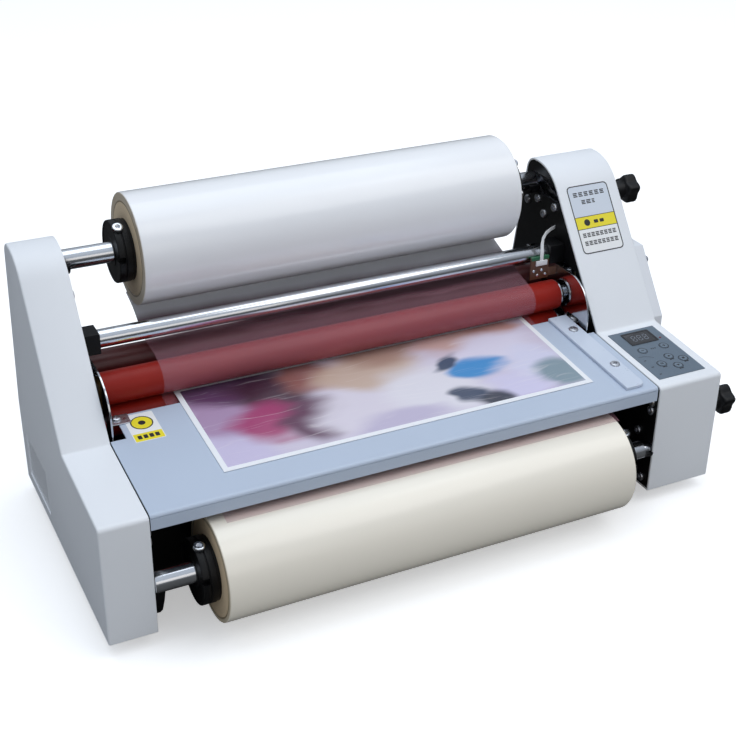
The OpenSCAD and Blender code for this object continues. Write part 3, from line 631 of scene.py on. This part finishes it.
def soften(node, width):
    """Rounds a CAD node's edges and gives it smooth faces."""
    obj = NODES[node]
    for poly in obj.data.polygons:
        poly.use_smooth = True
    having(obj.modifiers.new("weld", "WELD"), merge_threshold=1e-6)
    having(obj.modifiers.new("flat", "DECIMATE"), decimate_type="DISSOLVE",
           angle_limit=radians(0.4))
    having(obj.modifiers.new("bevel", "BEVEL"), width=width * MM, segments=2,
           limit_method="ANGLE", angle_limit=radians(SHARP), harden_normals=False)
    having(obj.modifiers.new("even", "WEIGHTED_NORMAL"), weight=60)


def paint(node, material):
    obj = NODES[node]
    obj.data.materials.clear()
    obj.data.materials.append(M[material])


# ------------------------------------------------- casings and side cover
def rounded(corners, inset=0.0, steps=12):
    """Clockwise (y, z, radius) corners, moved in by inset and rounded."""
    n = len(corners)
    out = []
    for i in range(n):
        a, b, c = corners[i - 1], corners[i], corners[(i + 1) % n]
        d0 = Vector((b[0] - a[0], b[1] - a[1])).normalized()
        d1 = Vector((c[0] - b[0], c[1] - b[1])).normalized()
        n0, n1 = Vector((d0.y, -d0.x)), Vector((d1.y, -d1.x))
        turn = atan2(d0.x * d1.y - d0.y * d1.x, d0.dot(d1))
        corner = Vector((b[0], b[1])) + (n0 + n1) * (inset / (1 + n0.dot(n1)))
        side = 1 if turn < 0 else -1
        r = max(0.05, b[2] - side * inset)
        reach = r * tan(abs(turn) / 2)
        start = corner - d0 * reach
        middle = start + n0 * (side * r)
        for k in range(steps + 1):
            a1 = turn * k / steps
            v = start - middle
            out.append((middle.x + v.x * cos(a1) - v.y * sin(a1),
                        middle.y + v.x * sin(a1) + v.y * cos(a1)))
    return out


def shell(corners, x_face, x_rim, round_r=1.6, rim_r=0.7):
    """A lidless box: flat face, rounded edge, skirt to the rim, and its inside."""
    s = 1 if x_rim > x_face else -1
    turns = [radians(15 * k) for k in range(7)]
    path = [(x_face + s * round_r * (1 - cos(a)), round_r * (1 - sin(a))) for a in turns]
    path += [(x_rim - s * rim_r * (1 - sin(a)), rim_r * (1 - cos(a))) for a in turns[::2]]
    path += [(x_rim, WALL - rim_r * 0.5), (x_rim - s * rim_r * 0.5, WALL),
             (x_face + s * WALL, WALL)]
    return stack([[(x, y, z) for y, z in rounded(corners, inset)] for x, inset in path])


BACK_Z, BACK_LEAN = 80.0, 0.173
top_zero = CREST_Z - CREST_FALL * CREST_Y
BACK_TOP = (CASING_D + BACK_LEAN * (BACK_Z - top_zero)) / (1 + BACK_LEAN * CREST_FALL)
CASING = [(0, 0, 1.5), (0, DECK_H, 4), (KINK_Y, KINK_Z, 3), (CREST_Y, CREST_Z, 45),
          (BACK_TOP, top_zero + CREST_FALL * BACK_TOP, 14), (CASING_D, BACK_Z, 12),
          (CASING_D, 0, 1.5)]


VENT_PITCH = 5.6


def side_prism(outline, x0, x1):
    """An outline of (y, z) carried along X."""
    return stack([[(x, y, z) for y, z in outline] for x in (x0, x1)])


left = make("left_casing_shell", shell(CASING, LEFT_OUT, LEFT_IN), "casing_paint", "machine",
            ["left_casing"])
cut(left, side_prism(rect(172, 11, 245, 55, 2.5), LEFT_OUT - 1, LEFT_OUT + 1))
vents = [rect(175 + VENT_PITCH * i, 16, 177.6 + VENT_PITCH * i, 50, 1.25) for i in range(12)]
cut(left, merge(*(side_prism(v, LEFT_OUT + 0.5, LEFT_OUT + WALL + 1) for v in vents)))

KEYS = {"minus": (237.2, 56), "plus": (261, 56.5), "forward": (254, 39.8),
        "reverse": (253, 24.4), "stop": (264.5, 32.4), "heat": (240.5, 31.8)}
DISPLAY = (248.3, 76)
DISPLAY_HALF = (14.7, 9.7)
UPPER_KNOB = (187.0, 211.0)
LOWER_KNOB = (17.0, 67.0)


def display_rect(grow, r):
    """The display opening's outline, made larger all round."""
    (u, v), (half_u, half_v) = DISPLAY, DISPLAY_HALF
    return rect(u - half_u - grow, v - half_v - grow, u + half_u + grow, v + half_v + grow, r)


right = make("right_casing_shell", shell(CASING, RIGHT_OUT, RIGHT_IN), "casing_paint", "machine",
             ["right_casing"])
holes = [slab(circle(x, y, 3.8), on_deck, -6, 6) for x, y in KEYS.values()]
holes.append(slab(display_rect(0, 0.3), on_deck, -6, 6))
holes += [rod(RIGHT_OUT - 6, RIGHT_OUT + 6, c, 4.1, 0.1, 48) for c in (UPPER_KNOB, LOWER_KNOB)]
inlet_low, inlet_high = span("power_inlet")
holes.append(block((inlet_low.x + 2, CASING_D - 6, inlet_low.z + 2),
                   (inlet_high.x - 2, CASING_D + 6, inlet_high.z - 2), 0.5))
cut(right, merge(*holes))

# ------------------------------------------------------- rolls and shafts
TURNS = 14
CORE_BORE_R = 25.95


def roll(node, core_node, center, film, paper, body):
    """A film roll whose ends show turns that stand at slightly different depths."""
    low, high = span(node)
    r = radius_of(node)
    r_core = radius_of(core_node)
    rng = random.Random(7 if center is UPPER else 11)
    rise = [0.12 + 0.16 * rng.random() for _ in range(TURNS)]
    radii = [r_core + 0.06 + (r - 1.0 - r_core) * k / (TURNS - 1) for k in range(TURNS)]
    inner = [(low.x + h, q) for h, q in zip(rise, radii)]
    outer = [(high.x - h, q) for h, q in zip(rise[::-1], radii)][::-1]
    profile = inner + [(low.x + 0.25, r - 0.45), (low.x + 0.8, r)]
    profile += [(high.x - 0.8, r), (high.x - 0.25, r - 0.45)] + outer
    make(node + "_wound", revolve(profile, center, 160, True), film, body, [node], slot="film")
    make(core_node + "_paper", tube(low.x, high.x, center, r_core, CORE_BORE_R, 0.5, 128), paper,
         body, [core_node], slot="paper_core")


roll("upper_film_roll", "upper_core_tube", UPPER, "upper_film", "upper_paper", "upper_reel")
roll("lower_film_roll", "lower_core_tube", LOWER, "lower_film", "lower_paper", "lower_reel")


HOLDER_R = 26.6


def holder(inner, outer, center):
    """One core holder: two discs, a plug in the core and a cleared hub."""
    s = 1 if outer > inner else -1
    path = [(-17.8, 8.75), (-17.8, 25.0), (-17.2, 25.85), (-0.05, 25.85), (0, 25.9),
            (0.5, 26.6), (5.3, 26.6), (5.9, 25.9), (6.3, 25.9), (6.8, 26.6), (11.0, 26.6),
            (11.7, 26.3), (12.0, 25.5), (12.0, 24.2), (11.5, 23.9), (11.5, 12.4),
            (12.0, 12.1), (12.0, 8.75)]
    return revolve([(inner + s * d, r) for d, r in path], center, 128, True)


KNURLS = 48
SCREW_AT = 10
LOWER_STEP_X = 208.0


def turned(center, angle, x, along, across, out):
    """A point by a radial screw: out along its axis, along and across it."""
    a = radians(angle)
    return (x + along, center[0] + out * cos(a) - across * sin(a),
            center[1] + out * sin(a) + across * cos(a))


def hexagon(r, kind, a):
    return r * cos(pi / 6) / cos((a % (pi / 3)) - pi / 6)


def knurled(r, kind, a):
    """Kind 1 is a knurl, 2 the socket."""
    if kind == 2:
        return hexagon(r, kind, a)
    return r - 0.28 * (round(a * KNURLS / pi) % 2)


def set_screw(center, angle, x, base):
    """A knurled cap screw with a hexagon socket, standing out of a hub."""
    levels = [(-6, 2.4, 0), (0, 2.4, 0), (0.02, 4.1, 0), (0.4, 4.6, 1), (2.9, 4.6, 1),
              (3.4, 4.0, 0), (3.5, 3.7, 0), (3.5, 2.5, 2), (1.4, 2.4, 2)]
    return lathe(levels, 2 * KNURLS,
                 lambda u, v, h: turned(center, angle, x, u, v, base + h), knurled)


for tag, center, angle in (("upper", UPPER, 116), ("lower", LOWER, 105)):
    body = tag + "_reel"
    film_low, film_high = span(tag + "_film_roll")
    hub_low, hub_high = span(tag + "_core_holders")
    shaft_low, shaft_high = span(tag + "_supply_shaft")
    solid = merge(holder(film_low.x - 2, hub_low.x, center),
                  holder(film_high.x + 2, hub_high.x, center))
    hubs = make(tag + "_hubs", solid, "black_plastic", body, [tag + "_core_holders"])
    slots = []
    for edge, s in ((film_low.x, -1), (film_high.x, 1)):
        for a, off, outline, base in ((angle + 60, 11.2, rect(-2.9, -2.6, 2.9, 2.6, 0.6), 18.5),
                                      (angle, SCREW_AT, circle(0, 0, 2.5, 24), 18)):
            slots.append(stack([[turned(center, a, edge + s * off, u, v, out)
                                 for u, v in outline] for out in (base, 32)]))
    cut(hubs, merge(*slots))
    step = shaft_high.x if tag == "upper" else LOWER_STEP_X
    solid = merge(rod(shaft_low.x, step, center, 8.68, 1.0),
                  set_screw(center, angle, film_low.x - SCREW_AT, HOLDER_R),
                  set_screw(center, angle, film_high.x + SCREW_AT, HOLDER_R))
    if tag == "lower":
        solid = merge(solid, rod(step - 1, shaft_high.x, center, 4.98, 0.5, 64))
    make(tag + "_shaft", solid, "bright_steel", body, [tag + "_supply_shaft"])

bar_low, bar_high = span("idler_bar")
make("idler_bar_polished", rod(bar_low.x, bar_high.x, BAR, radius_of("idler_bar"), 0.6, 96),
     "bright_steel", "machine", ["idler_bar"])

# ---------------------------------------------------------------- rollers
for node, center, body in (("front_upper_sleeve", FRONT_UP, "front_upper_nip_roller"),
                           ("front_lower_sleeve", FRONT_LOW, "front_lower_nip_roller")):
    low, high = span(node)
    make(node + "_rubber", tube(low.x, high.x, center, ROLLER_R, ROLLER_R - 2.45, 0.7, 128),
         "red_rubber", body, [node])
    core = node.replace("sleeve", "core")
    core_low, core_high = span(core)
    path = [(core_low.x, 5.3), (core_low.x, 6.0), (core_low.x + 0.5, 6.45), (low.x - 0.1, 6.45),
            (low.x, 11.0), (high.x, 11.3), (high.x + 0.02, 12.3), (high.x + 0.5, 12.7),
            (high.x + 1.6, 12.7), (high.x + 2, 12.3), (high.x + 2, 6.45),
            (core_high.x - 0.5, 6.45), (core_high.x, 6.0), (core_high.x, 5.3)]
    make(core + "_turned", revolve(path, center, 96, True), "bright_steel", body, [core])
# The rear rollers take the painted-shade red, darkened to stand for the shadow they lie in.
for node, center in (("rear_upper_roller", REAR_UP), ("rear_lower_roller", REAR_LOW)):
    low, high = span(node)
    x0, x1 = LEFT_IN + 6, 206
    path = [(low.x, 4.4), (low.x + 0.6, 4.97), (x0, 4.97), (x0, ROLLER_R - 0.8),
            (x0 + 0.8, ROLLER_R - 0.02), (x1 - 0.8, ROLLER_R - 0.02), (x1, ROLLER_R - 0.8),
            (x1, 4.97), (high.x - 0.6, 4.97), (high.x, 4.4)]
    make(node + "_rubber", revolve(path, center, 128), "dark_red_rubber",
         node.replace("_roller", "_nip_roller"), [node])

# --------------------------------------------------------------- film webs
WEB_X = (span("upper_film_web")[0].x, span("upper_film_web")[1].x)
TAIL_Y = span("upper_film_web")[1].y
WEB_COLUMNS = 90
WEB_T = 0.14
CLEAR = 0.35


def flat(y, z):
    return 0.0


def arc(c, r, a0, a1, n):
    turns = [radians(a0 + (a1 - a0) * i / n) for i in range(n + 1)]
    return [(c[0] + r * cos(a), c[1] + r * sin(a)) for a in turns]


def heading(a, b):
    return degrees(atan2(b[1] - a[1], b[0] - a[0]))


def filled(path, step=3.0):
    """The path with points added so that none is further than step from the next."""
    out = [path[0]]
    for a, b in zip(path, path[1:]):
        n = max(1, int(hypot(b[0] - a[0], b[1] - a[1]) / step))
        out += [(a[0] + (b[0] - a[0]) * k / n, a[1] + (b[1] - a[1]) * k / n)
                for k in range(1, n + 1)]
    return out


def web(path, free, phase, sag=0.0):
    """A sheet along the path, rippled where free(y, z) lets it move, slack on its left."""
    top, under = [], []
    for i, (y, z) in enumerate(path):
        ny, nz = normal_at(path, i)
        row_top, row_under = [], []
        for k in range(WEB_COLUMNS + 1):
            x = WEB_X[0] + (WEB_X[1] - WEB_X[0]) * k / WEB_COLUMNS
            wave = free(y, z) * (sin(x * 0.11 + phase + i * 0.05)
                                 + 0.6 * sin(x * 0.043 + 2 * phase))
            along = min(1.0, max(0.0, (y - 155) / 67)) if z > FRONT_UP[1] + 10 else 0.0
            fall = (0.08 + 0.92 * (1 - k / WEB_COLUMNS) ** 1.5) * sin(pi * along) ** 2
            for row, h in ((row_top, WEB_T / 2), (row_under, -WEB_T / 2)):
                row.append((x, y + ny * (h + wave), z + nz * (h + wave) - sag * fall))
        top.append(row_top)
        under.append(row_under)
    return stack([t + u[::-1] for t, u in zip(top, under)])


def turn_loose(piece):
    """Leaves a piece free of its body, where it stands."""
    bpy.context.view_layer.update()
    place = piece.matrix_world.copy()
    piece.parent = None
    piece.matrix_world = place
    return piece


roll_r = radius_of("upper_film_roll") + CLEAR
nip_r = ROLLER_R + CLEAR
drop = heading(UPPER, FRONT_UP) - degrees(asin(
    (roll_r + nip_r) / hypot(FRONT_UP[0] - UPPER[0], FRONT_UP[1] - UPPER[1])))
leave = (UPPER[0] - roll_r * sin(radians(drop)), UPPER[1] + roll_r * cos(radians(drop)))
upper_path = filled([leave] + arc(FRONT_UP, nip_r, drop + 270, 270, 30))
nip_y, nip_top = FRONT_UP[0], FRONT_UP[1] - nip_r


def slack_upper(y, z):
    """Ripple height: none on the roll and the roller."""
    far = min(abs(hypot(y - c[0], z - c[1]) - r) for c, r in ((UPPER, roll_r), (FRONT_UP, nip_r)))
    return min(0.35, far * 0.06)


front_web = make("upper_web_front", web(upper_path, slack_upper, 0.4, 7.0), "web", "machine",
                 ["upper_film_web"], sharp=60)
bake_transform(turn_loose(front_web))
tail_web = make("upper_web_tail", web(filled([(nip_y, nip_top), (TAIL_Y, nip_top)]), flat, 0.9),
                "web", "machine", sharp=60)
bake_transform(turn_loose(tail_web))


SPRING_WIRE_R = 0.7
SPRING_TURNS = 4


def coil(x, y, z0, z1, r):
    """A round-wire spring standing along Z."""
    steps = SPRING_TURNS * 20
    wire = circle(r, 0, SPRING_WIRE_R, 8)
    rings = []
    for i in range(steps + 1):
        a = radians(18 * i)
        z = z0 + SPRING_WIRE_R + (z1 - z0 - 2 * SPRING_WIRE_R) * i / steps
        rings.append([(x + q * cos(a), y + q * sin(a), z + up) for q, up in wire])
    return stack(rings)


for tag in ("front", "rear"):
    low, high = span(tag + "_pressure_springs")
    reach = (high.y - low.y) / 2
    middle = (low.y + high.y) / 2
    coils = merge(*(coil(x, middle, low.z, high.z, reach - SPRING_WIRE_R)
                    for x in (low.x + reach, high.x - reach)))
    springs = make(tag + "_lift_springs", coils, "spring_steel", "machine",
                   [tag + "_pressure_springs"], sharp=60)
    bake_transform(turn_loose(springs))

low_gap = (FRONT_LOW[0] - LOWER[0], FRONT_LOW[1] - LOWER[1])
rise = heading(LOWER, FRONT_LOW) - degrees(asin(
    (radius_of("lower_film_roll") - ROLLER_R) / hypot(*low_gap)))
low_r = radius_of("lower_film_roll") + CLEAR
start = (LOWER[0] - low_r * sin(radians(rise)), LOWER[1] + low_r * cos(radians(rise)))
lower_path = filled([start] + arc(FRONT_LOW, nip_r, rise + 90, 90, 6)
                    + [(TAIL_Y, FRONT_LOW[1] + nip_r)])
make("lower_web", web(lower_path, flat, 0.2), "web", "machine", ["lower_film_web"], sharp=60)


# ------------------------------------------------------------------ knobs
def star(r, depth, a):
    """Radius of a five-lobed outline at angle a, depth less between the lobes."""
    wave = cos(5 * (a - radians(18)))
    return r - depth * (0.5 - 0.5 * wave) ** 0.8


def knob(center):
    x1 = span("upper_tension_knob")[1].x
    x0 = x1 - 13
    levels = [(RIGHT_OUT + 0.4, 8.3, 0), (RIGHT_OUT + 0.9, 8.5, 0), (x0 - 1.2, 8.5, 0),
              (x0 - 0.4, 9.2, 0), (x0, 11.6, 1.2), (x0 + 0.5, 13.0, 2.4), (x0 + 1.6, 13.85, 3.0),
              (x0 + 3, 14.0, 3.2), (x1 - 3.4, 14.0, 3.2), (x1 - 1.6, 13.6, 3.0),
              (x1 - 0.5, 12.6, 2.6), (x1 - 0.05, 11.2, 2.0), (x1, 9.8, 1.0), (x1 - 0.5, 7.6, 0),
              (x1 - 1.0, 6.9, 0), (x1 - 1.0, 5.2, 0), (x1 - 0.3, 4.6, 0), (x1 - 0.1, 2.0, 0)]
    return merge(lathe(levels, 120, around(center), star),
                 rod(RIGHT_IN + 7.0, RIGHT_OUT + 1.0, center, 3.95, 0.4, 48))


for tag, center in (("upper", UPPER_KNOB), ("lower", LOWER_KNOB)):
    make(tag + "_star_knob", knob(center), "black_plastic", tag + "_knob", [tag + "_tension_knob"],
         sharp=40)


# ----------------------------------------------------------------- screws
def socket_head(place, r, h):
    """A button screw with a hexagon socket; place(u, v, height) sets it."""
    levels = [(0, r, 0), (h * 0.45, r, 0), (h * 0.8, r * 0.93, 0), (h, r * 0.78, 0),
              (h, r * 0.5, 2), (h * 0.25, r * 0.48, 2)]
    return lathe(levels, 36, place, hexagon)


def cross_head(place, r, h):
    """A pan head with a cross recess."""
    width = r * 0.13

    def cross(q0, kind, a):
        c, s = abs(cos(a)), abs(sin(a))
        q = max(min(q0 / max(c, s), width / max(min(c, s), 1e-6)), width * 1.35)
        return min(q, q0)

    levels = [(0, r, 0), (h * 0.35, r, 0), (h * 0.75, r * 0.9, 0), (h, r * 0.66, 0),
              (h, r * 0.5, 1), (h * 0.4, r * 0.4, 1)]
    return lathe(levels, 48, place, cross)


PLATE_SCREWS = [(227.3, 199.9), (210.2, 206.5), (181.9, 207), (198.5, 195), (9.3, 79.5),
                (9.3, 88), (37.3, 40.6), (23.5, 52.2), (12, 9.3)]
GUIDE_SCREWS = [(196.7, 107.5), (198.2, 43.7)]
BRACKET_SCREWS = [(-227, 128), (210.5, 128)]
COVER_SCREWS = [(138, 158), (228, 160), (228, 30), (112, 30)]


def facing(x, s, y, z):
    """Places a head on a plane square to X, standing out along s."""
    return lambda u, v, w: (x + s * w, y + u, z + v)


def over_deck(x, y, up):
    return lambda u, v, w: on_deck(x + u, y + v, up + w)


heads = [socket_head(facing(x, s, y, z), 4.2, 2.2)
         for y, z in PLATE_SCREWS for x, s in ((RIGHT_IN, -1), (LEFT_IN, 1))]
heads += [cross_head(over_deck(x, y, 3), 4.4, 1.6) for x, y in GUIDE_SCREWS]
heads += [cross_head(over_deck(x, y, 1.2), 3.9, 1.8) for x, y in BRACKET_SCREWS]
heads += [cross_head(facing(span("side_cover")[1].x, 1, y, z), 3.2, 1.5) for y, z in COVER_SCREWS]
make("frame_screw_heads", merge(*heads), "zinc_steel", "machine", ["frame_screws"])


# ------------------------------------------------------- control panel
INK = 0.06
MARK = 0.12
KEY_TOP = 0.4


def panel(u, v, h):
    """A point above the panel's overlay, which is 0.6 thick."""
    return on_deck(u, v, 0.6 + h)


def dash(u, v, half_u, half_v, r=0.15, low=0.0, high=INK):
    """A small printed bar about (u, v) on the panel."""
    return slab(rect(u - half_u, v - half_v, u + half_u, v + half_v, r), panel, low, high)


def on_key(*shape):
    """A bar of a key's mark; the keys stand above the overlay."""
    return dash(*shape, 0.1, KEY_TOP, KEY_TOP + MARK)


def arrow(x, y, s):
    return slab([(x - 1.6, y - s * 0.9), (x + 1.6, y - s * 0.9), (x, y + s * 1.5)][::s], panel,
                KEY_TOP, KEY_TOP + MARK)


def wave(x, y):
    return stroke([(x + 0.3 * sin(t * 1.6), y - 1.5 + t * 0.6) for t in range(6)], 0.4, panel,
                  KEY_TOP, KEY_TOP + MARK)


(mx, my), (px, py) = KEYS["minus"], KEYS["plus"]
(sx, sy), (hx, hy) = KEYS["stop"], KEYS["heat"]
marks = {
    "minus": [on_key(mx, my, 1.5, 0.32)],
    "plus": [on_key(px, py, 1.5, 0.32), on_key(px, py + 0.915, 0.32, 0.585),
             on_key(px, py - 0.915, 0.32, 0.585)],
    "forward": [arrow(*KEYS["forward"], 1)],
    "reverse": [arrow(*KEYS["reverse"], -1)],
    "stop": [dash(sx, sy, 1.2, 1.2, 0.15, KEY_TOP, KEY_TOP + MARK)],
    "heat": [wave(hx + k * 1.1, hy) for k in (-1, 0, 1)],
}
ink = [ring_slab(display_rect(0.3, 1.6), display_rect(-1.5, 0.8), panel, 0.2, 0.34)]
for tag, solids in marks.items():
    make("mark_" + tag, merge(*solids), "ink_black", tag + "_key", slot="key_grey")
    ink.append(ring_slab(circle(*KEYS[tag], 4.7), circle(*KEYS[tag], 4.15), panel, 0.0, INK))
ink += [dash(247.05 + 2.0 * k, 56.15, 0.55, 0.75) for k in range(3)]
ink += [dash(228.2 + half, y, half, 0.5) for y, half in ((41, 1.0), (30, 1.3), (18, 1.1))]
ink.append(stroke([(227, 48), (233, 47.2), (237.5, 45.2), (240, 42.6)], 0.35, panel, 0, INK))
ink += [dash(KEYS[tag][0] - 1.3 + 2.5 * k, y, 1.0, 0.55) for tag, y in
        (("forward", 34.6), ("stop", 27.3), ("reverse", 19.2), ("heat", 26.6)) for k in range(2)]
make("panel_printing", merge(*ink), "ink_black", "machine", slot="overlay_grey")
make("panel_lamp", slab(circle(266.5, 69.4, 1.1, 24), panel, 0, 0.5, 0.3), "lens_red", "machine",
     slot="overlay_grey")

DIGIT_W, DIGIT_H, DIGIT_SLANT = 3.6, 8.0, 0.09
segments = []
for k in range(3):
    x0, y0 = DISPLAY[0] - 8.4 + 6.2 * k, DISPLAY[1] - 4.2
    bars = [(0.3, h - 0.4, DIGIT_W - 0.3, h + 0.4) for h in (0, DIGIT_H / 2, DIGIT_H)]
    bars += [(u - 0.4, h + 0.5, u + 0.4, h + DIGIT_H / 2 - 0.5)
             for u in (0, DIGIT_W) for h in (0, DIGIT_H / 2)]
    for bar in bars:
        shape = [(x0 + u + DIGIT_SLANT * v, y0 + v) for u, v in rect(*bar, 0.3)]
        segments.append(slab(shape, panel, 0.2, 0.24))
make("display_segments", merge(*segments), "ink_grey", "machine", slot="smoked_window")


# ------------------------------------------------- labels without wording
S0, S1 = 73.6, 139.0
make("slope_label", slab(rect(226, S0, 271, S1, 4), on_slope, 0, 0.08), "ink_white", "machine",
     slot="casing_paint")
make("slope_label_shade", slab(rect(226.5, 109.1, 270.5, S1 - 0.5, 3.2), on_slope, 0.08, 0.1),
     "ink_pale", "machine", slot="casing_paint")
make("slope_label_band", slab(rect(226.6, 97.4, 270.4, 108.6, 0.3), on_slope, 0.08, 0.13),
     "ink_yellow", "machine", slot="casing_paint")
lines = [ring_slab(rect(226, S0, 271, S1, 4), rect(227.0, S0 + 1.0, 270.0, S1 - 1.0, 3.2),
                   on_slope, 0.1, 0.15)]
lines += [slab(rect(226.5, v - 0.28, 270.5, v + 0.28, 0.1), on_slope, 0.08, 0.16)
          for v in (97.2, 108.8)]
lines.append(slab(circle(238.5, 103, 3.2, 32), on_slope, 0.13, 0.17))
lines += [slab(rect(246 + 6.4 * k, 101.4, 250.6 + 6.4 * k, 104.6, 0.5), on_slope, 0.13, 0.17)
          for k in range(2)]
# Each row of marks: height up the slope, how tall, and (start, width) of each mark.
small = [(230.4 + 4.7 * k, 3.7) for k in range(8)]
rows = [(130.4, 4.4, [(231.5 + 5.9 * k, 4.4) for k in range(6)]),
        (122.8, 4.0, [(238.5, 4.2), (243.8, 5.0), (250, 3.0)]), (91.4, 4.2, small),
        (83.6, 4.2, small)]
for v, tall, places in rows:
    for u, wide in places:
        for part in range(3):
            low = v - tall / 2 + part * tall / 2.8
            bar = rect(u, low, u + wide * (1 - 0.12 * (part % 2)), low + tall / 4.2, 0.15)
            lines.append(slab(bar, on_slope, 0.08, 0.14))
make("slope_label_lines", merge(*lines), "ink_black", "machine", slot="casing_paint")


make("table_tag", slab(rect(-222, 92, -197, 130.6, 0.8), on_deck, 0, 0.1), "ink_white", "machine",
     slot="table_paint")
make("table_tag_band", merge(slab(rect(-221.4, 92.6, -197.6, 103, 0.5), on_deck, 0.1, 0.16),
                             slab(circle(-209.5, 117, 8.6, 40), on_deck, 0.1, 0.16)), "ink_yellow",
     "machine", slot="table_paint")
tag_lines = [slab(rect(-218.6 + 4.8 * k, 95.4, -215.2 + 4.8 * k, 100.4, 0.5), on_deck, 0.16, 0.2)
             for k in range(4)]
tag_lines += [ring_slab(circle(-209.5, 117, 9.2, 40), circle(-209.5, 117, 8.2, 40), on_deck,
                        0.1, 0.2),
              slab(circle(-209.5, 117, 3.0, 24), on_deck, 0.16, 0.2)]
make("table_tag_lines", merge(*tag_lines), "ink_black", "machine", slot="table_paint")

# ------------------------------------------- sensor board, sockets, pins
board = [block((180, 159.4, 148.5), (199.5, 161, 170.5), 0.15),
         block((199.4, 159.4, 150), (208.5, 161, 158), 0.15)]
make("sensor_board_laminate", merge(*board), "board_brown", "machine", ["sensor_board"])
pads = []
for k in range(4):
    u, v = 183.2 + 4.2 * k, 152.4 if k % 2 else 157.2
    pads.append(stack([[(x, y, z) for x, z in circle(u, v, r, 20)]
                       for y, r in ((159.5, 1.5), (158.9, 1.45), (158.6, 1.1))]))
make("sensor_connector", block((185, 158.0, 162.2), (197, 159.5, 167.0), 0.2), "cable_white",
     "machine")
make("sensor_solder", merge(*pads), "bright_steel", "machine")
make("sensor_mask", block((180.2, 159.0, 167.6), (199.3, 161.4, 170.9), 0.2), "board_green",
     "machine")

pins = [block((x - 1, CASING_D - 15.8, z - 2.4), (x + 1, CASING_D - 1.5, z + 2.4), 0.5)
        for x, z in ((241.5, 32.5), (254.5, 32.5), (248, 36.5))]
make("inlet_pins", merge(*pins), "bright_steel", "machine")

# --------------------------------------------- CAD nodes that stay in view
# Finish, width of the rounded edges, and the nodes that have them.
PAINT = [
    ("cover_paint", 1.4, "side_cover"),
    ("frame_black", 0.25, "left_side_plate right_side_plate"),
    ("frame_black", 0.2, "base_pan"),
    ("table_paint", 0.3, "feed_table"),
    ("zinc_steel", 0.25, "table_brackets"),
    ("guide_plastic", 0.7, "side_guide"),
    ("black_plastic", 0.8, "idler_bar_blocks"),
    ("mirror_steel", 0.2, "end_plates"),
    ("quartz", 0.2, "heater_tubes"),
    ("motor_black", 0.5, "gear_motor"),
    ("black_plastic", 0.6, "shaft_seats"),
    ("spring_steel", 0.2, "brake_springs"),
    ("overlay_grey", 0.1, "control_overlay"),
    ("smoked_window", 0.25, "display_window"),
    ("board_green", 0.2, "control_board"),
    ("cable_white", 0.08, "sensor_ribbon"),
    ("black_plastic", 0.5, "power_inlet power_rocker"),
    ("foot_rubber", 0.8, "rubber_feet"),
    ("bronze", 0.4, "front_bearing_blocks rear_bearing_blocks"),
    ("ivory_plastic", 0.2, "front_upper_gear front_lower_gear rear_upper_gear rear_lower_gear "
                           "idler_gear"),
    ("zinc_steel", 0.15, "motor_pinion"),
    ("print_paper", 0, "sample_print"),
    ("key_grey", 0.3, "key_minus key_plus key_forward key_reverse key_stop key_heat"),
]
for material, width, names in PAINT:
    for node in names.split():
        paint(node, material)
        if width:
            soften(node, width)

# ------------------------------------------------------ floor, light, camera
FAR = 12.0
floor_mesh = bpy.data.meshes.new("floor")
floor_mesh.from_pydata([(-FAR, -FAR, 0), (FAR, -FAR, 0), (FAR, FAR, 0), (-FAR, FAR, 0)], [],
                       [(0, 1, 2, 3)])
floor = linked("floor", floor_mesh)
floor_mat, floor_tree, floor_shader = new_material("floor_white", 0.9)
path = put(floor_tree, "LightPath").outputs
seen = path["Is Camera Ray"]
dim = blend_colors(floor_tree, path["Is Glossy Ray"], (0.5, 0.5, 0.49, 1), (0.1, 0.098, 0.095, 1))
fill(floor_tree, floor_shader, Specular_IOR_Level=0.1, Emission_Color=(1, 1, 1, 1),
     Base_Color=blend_colors(floor_tree, seen, dim, (0.93, 0.93, 0.93, 1)),
     Emission_Strength=math_node(floor_tree, "MULTIPLY", seen, 0.42))
floor_mesh.materials.append(floor_mat)

world = bpy.data.worlds.new("studio")
bpy.context.scene.world = world
world.use_nodes = True
sky = world.node_tree
up = put(sky, "SeparateXYZ", Vector=put(sky, "TexCoord").outputs["Generated"]).outputs[2]
tone = put(sky, "ValToRGB", Fac=ramp(sky, up, -0.1, 1.0))
tone.color_ramp.elements[0].color = (0.15, 0.148, 0.145, 1)
tone.color_ramp.elements[1].color = (0.86, 0.95, 1.08, 1)
tone.color_ramp.elements[1].position = 0.75
fill(sky, sky.nodes["Background"], Color=tone.outputs[0], Strength=0.62)


def softbox(name, place, target, size, power, tint):
    data = bpy.data.lights.new(name, "AREA")
    data.shape = "RECTANGLE"
    data.size, data.size_y = size
    data.energy = power
    data.color = tint
    lamp = linked(name, data)
    lamp.location = place
    lamp.rotation_euler = (Vector(target) - Vector(place)).to_track_quat("-Z", "Y").to_euler()


softbox("key", (0.9, -0.9, 1.9), (0, 0, 0.1), (1.6, 1.2), 9, (1.0, 0.98, 0.95))
softbox("top", (0.0, 0.3, 2.2), (0, 0, 0.1), (2.2, 1.6), 15, (0.88, 0.95, 1.0))
softbox("front", (-0.3, -2.2, 0.9), (0, 0, 0.15), (1.8, 0.9), 3.2, (1.0, 0.93, 0.84))

camera_data = bpy.data.cameras.new("camera")
camera_data.lens = 64.627
camera_data.sensor_width = 36.0
camera_data.dof.use_dof = False
camera = linked("camera", camera_data)
camera.location = (-0.46309, -0.89454, 0.67468)
camera.rotation_euler = (radians(61.46319), radians(-0.59964),
                         radians(-25.88669))
bpy.context.scene.camera = camera
bpy.context.scene.view_settings.view_transform = "Standard"
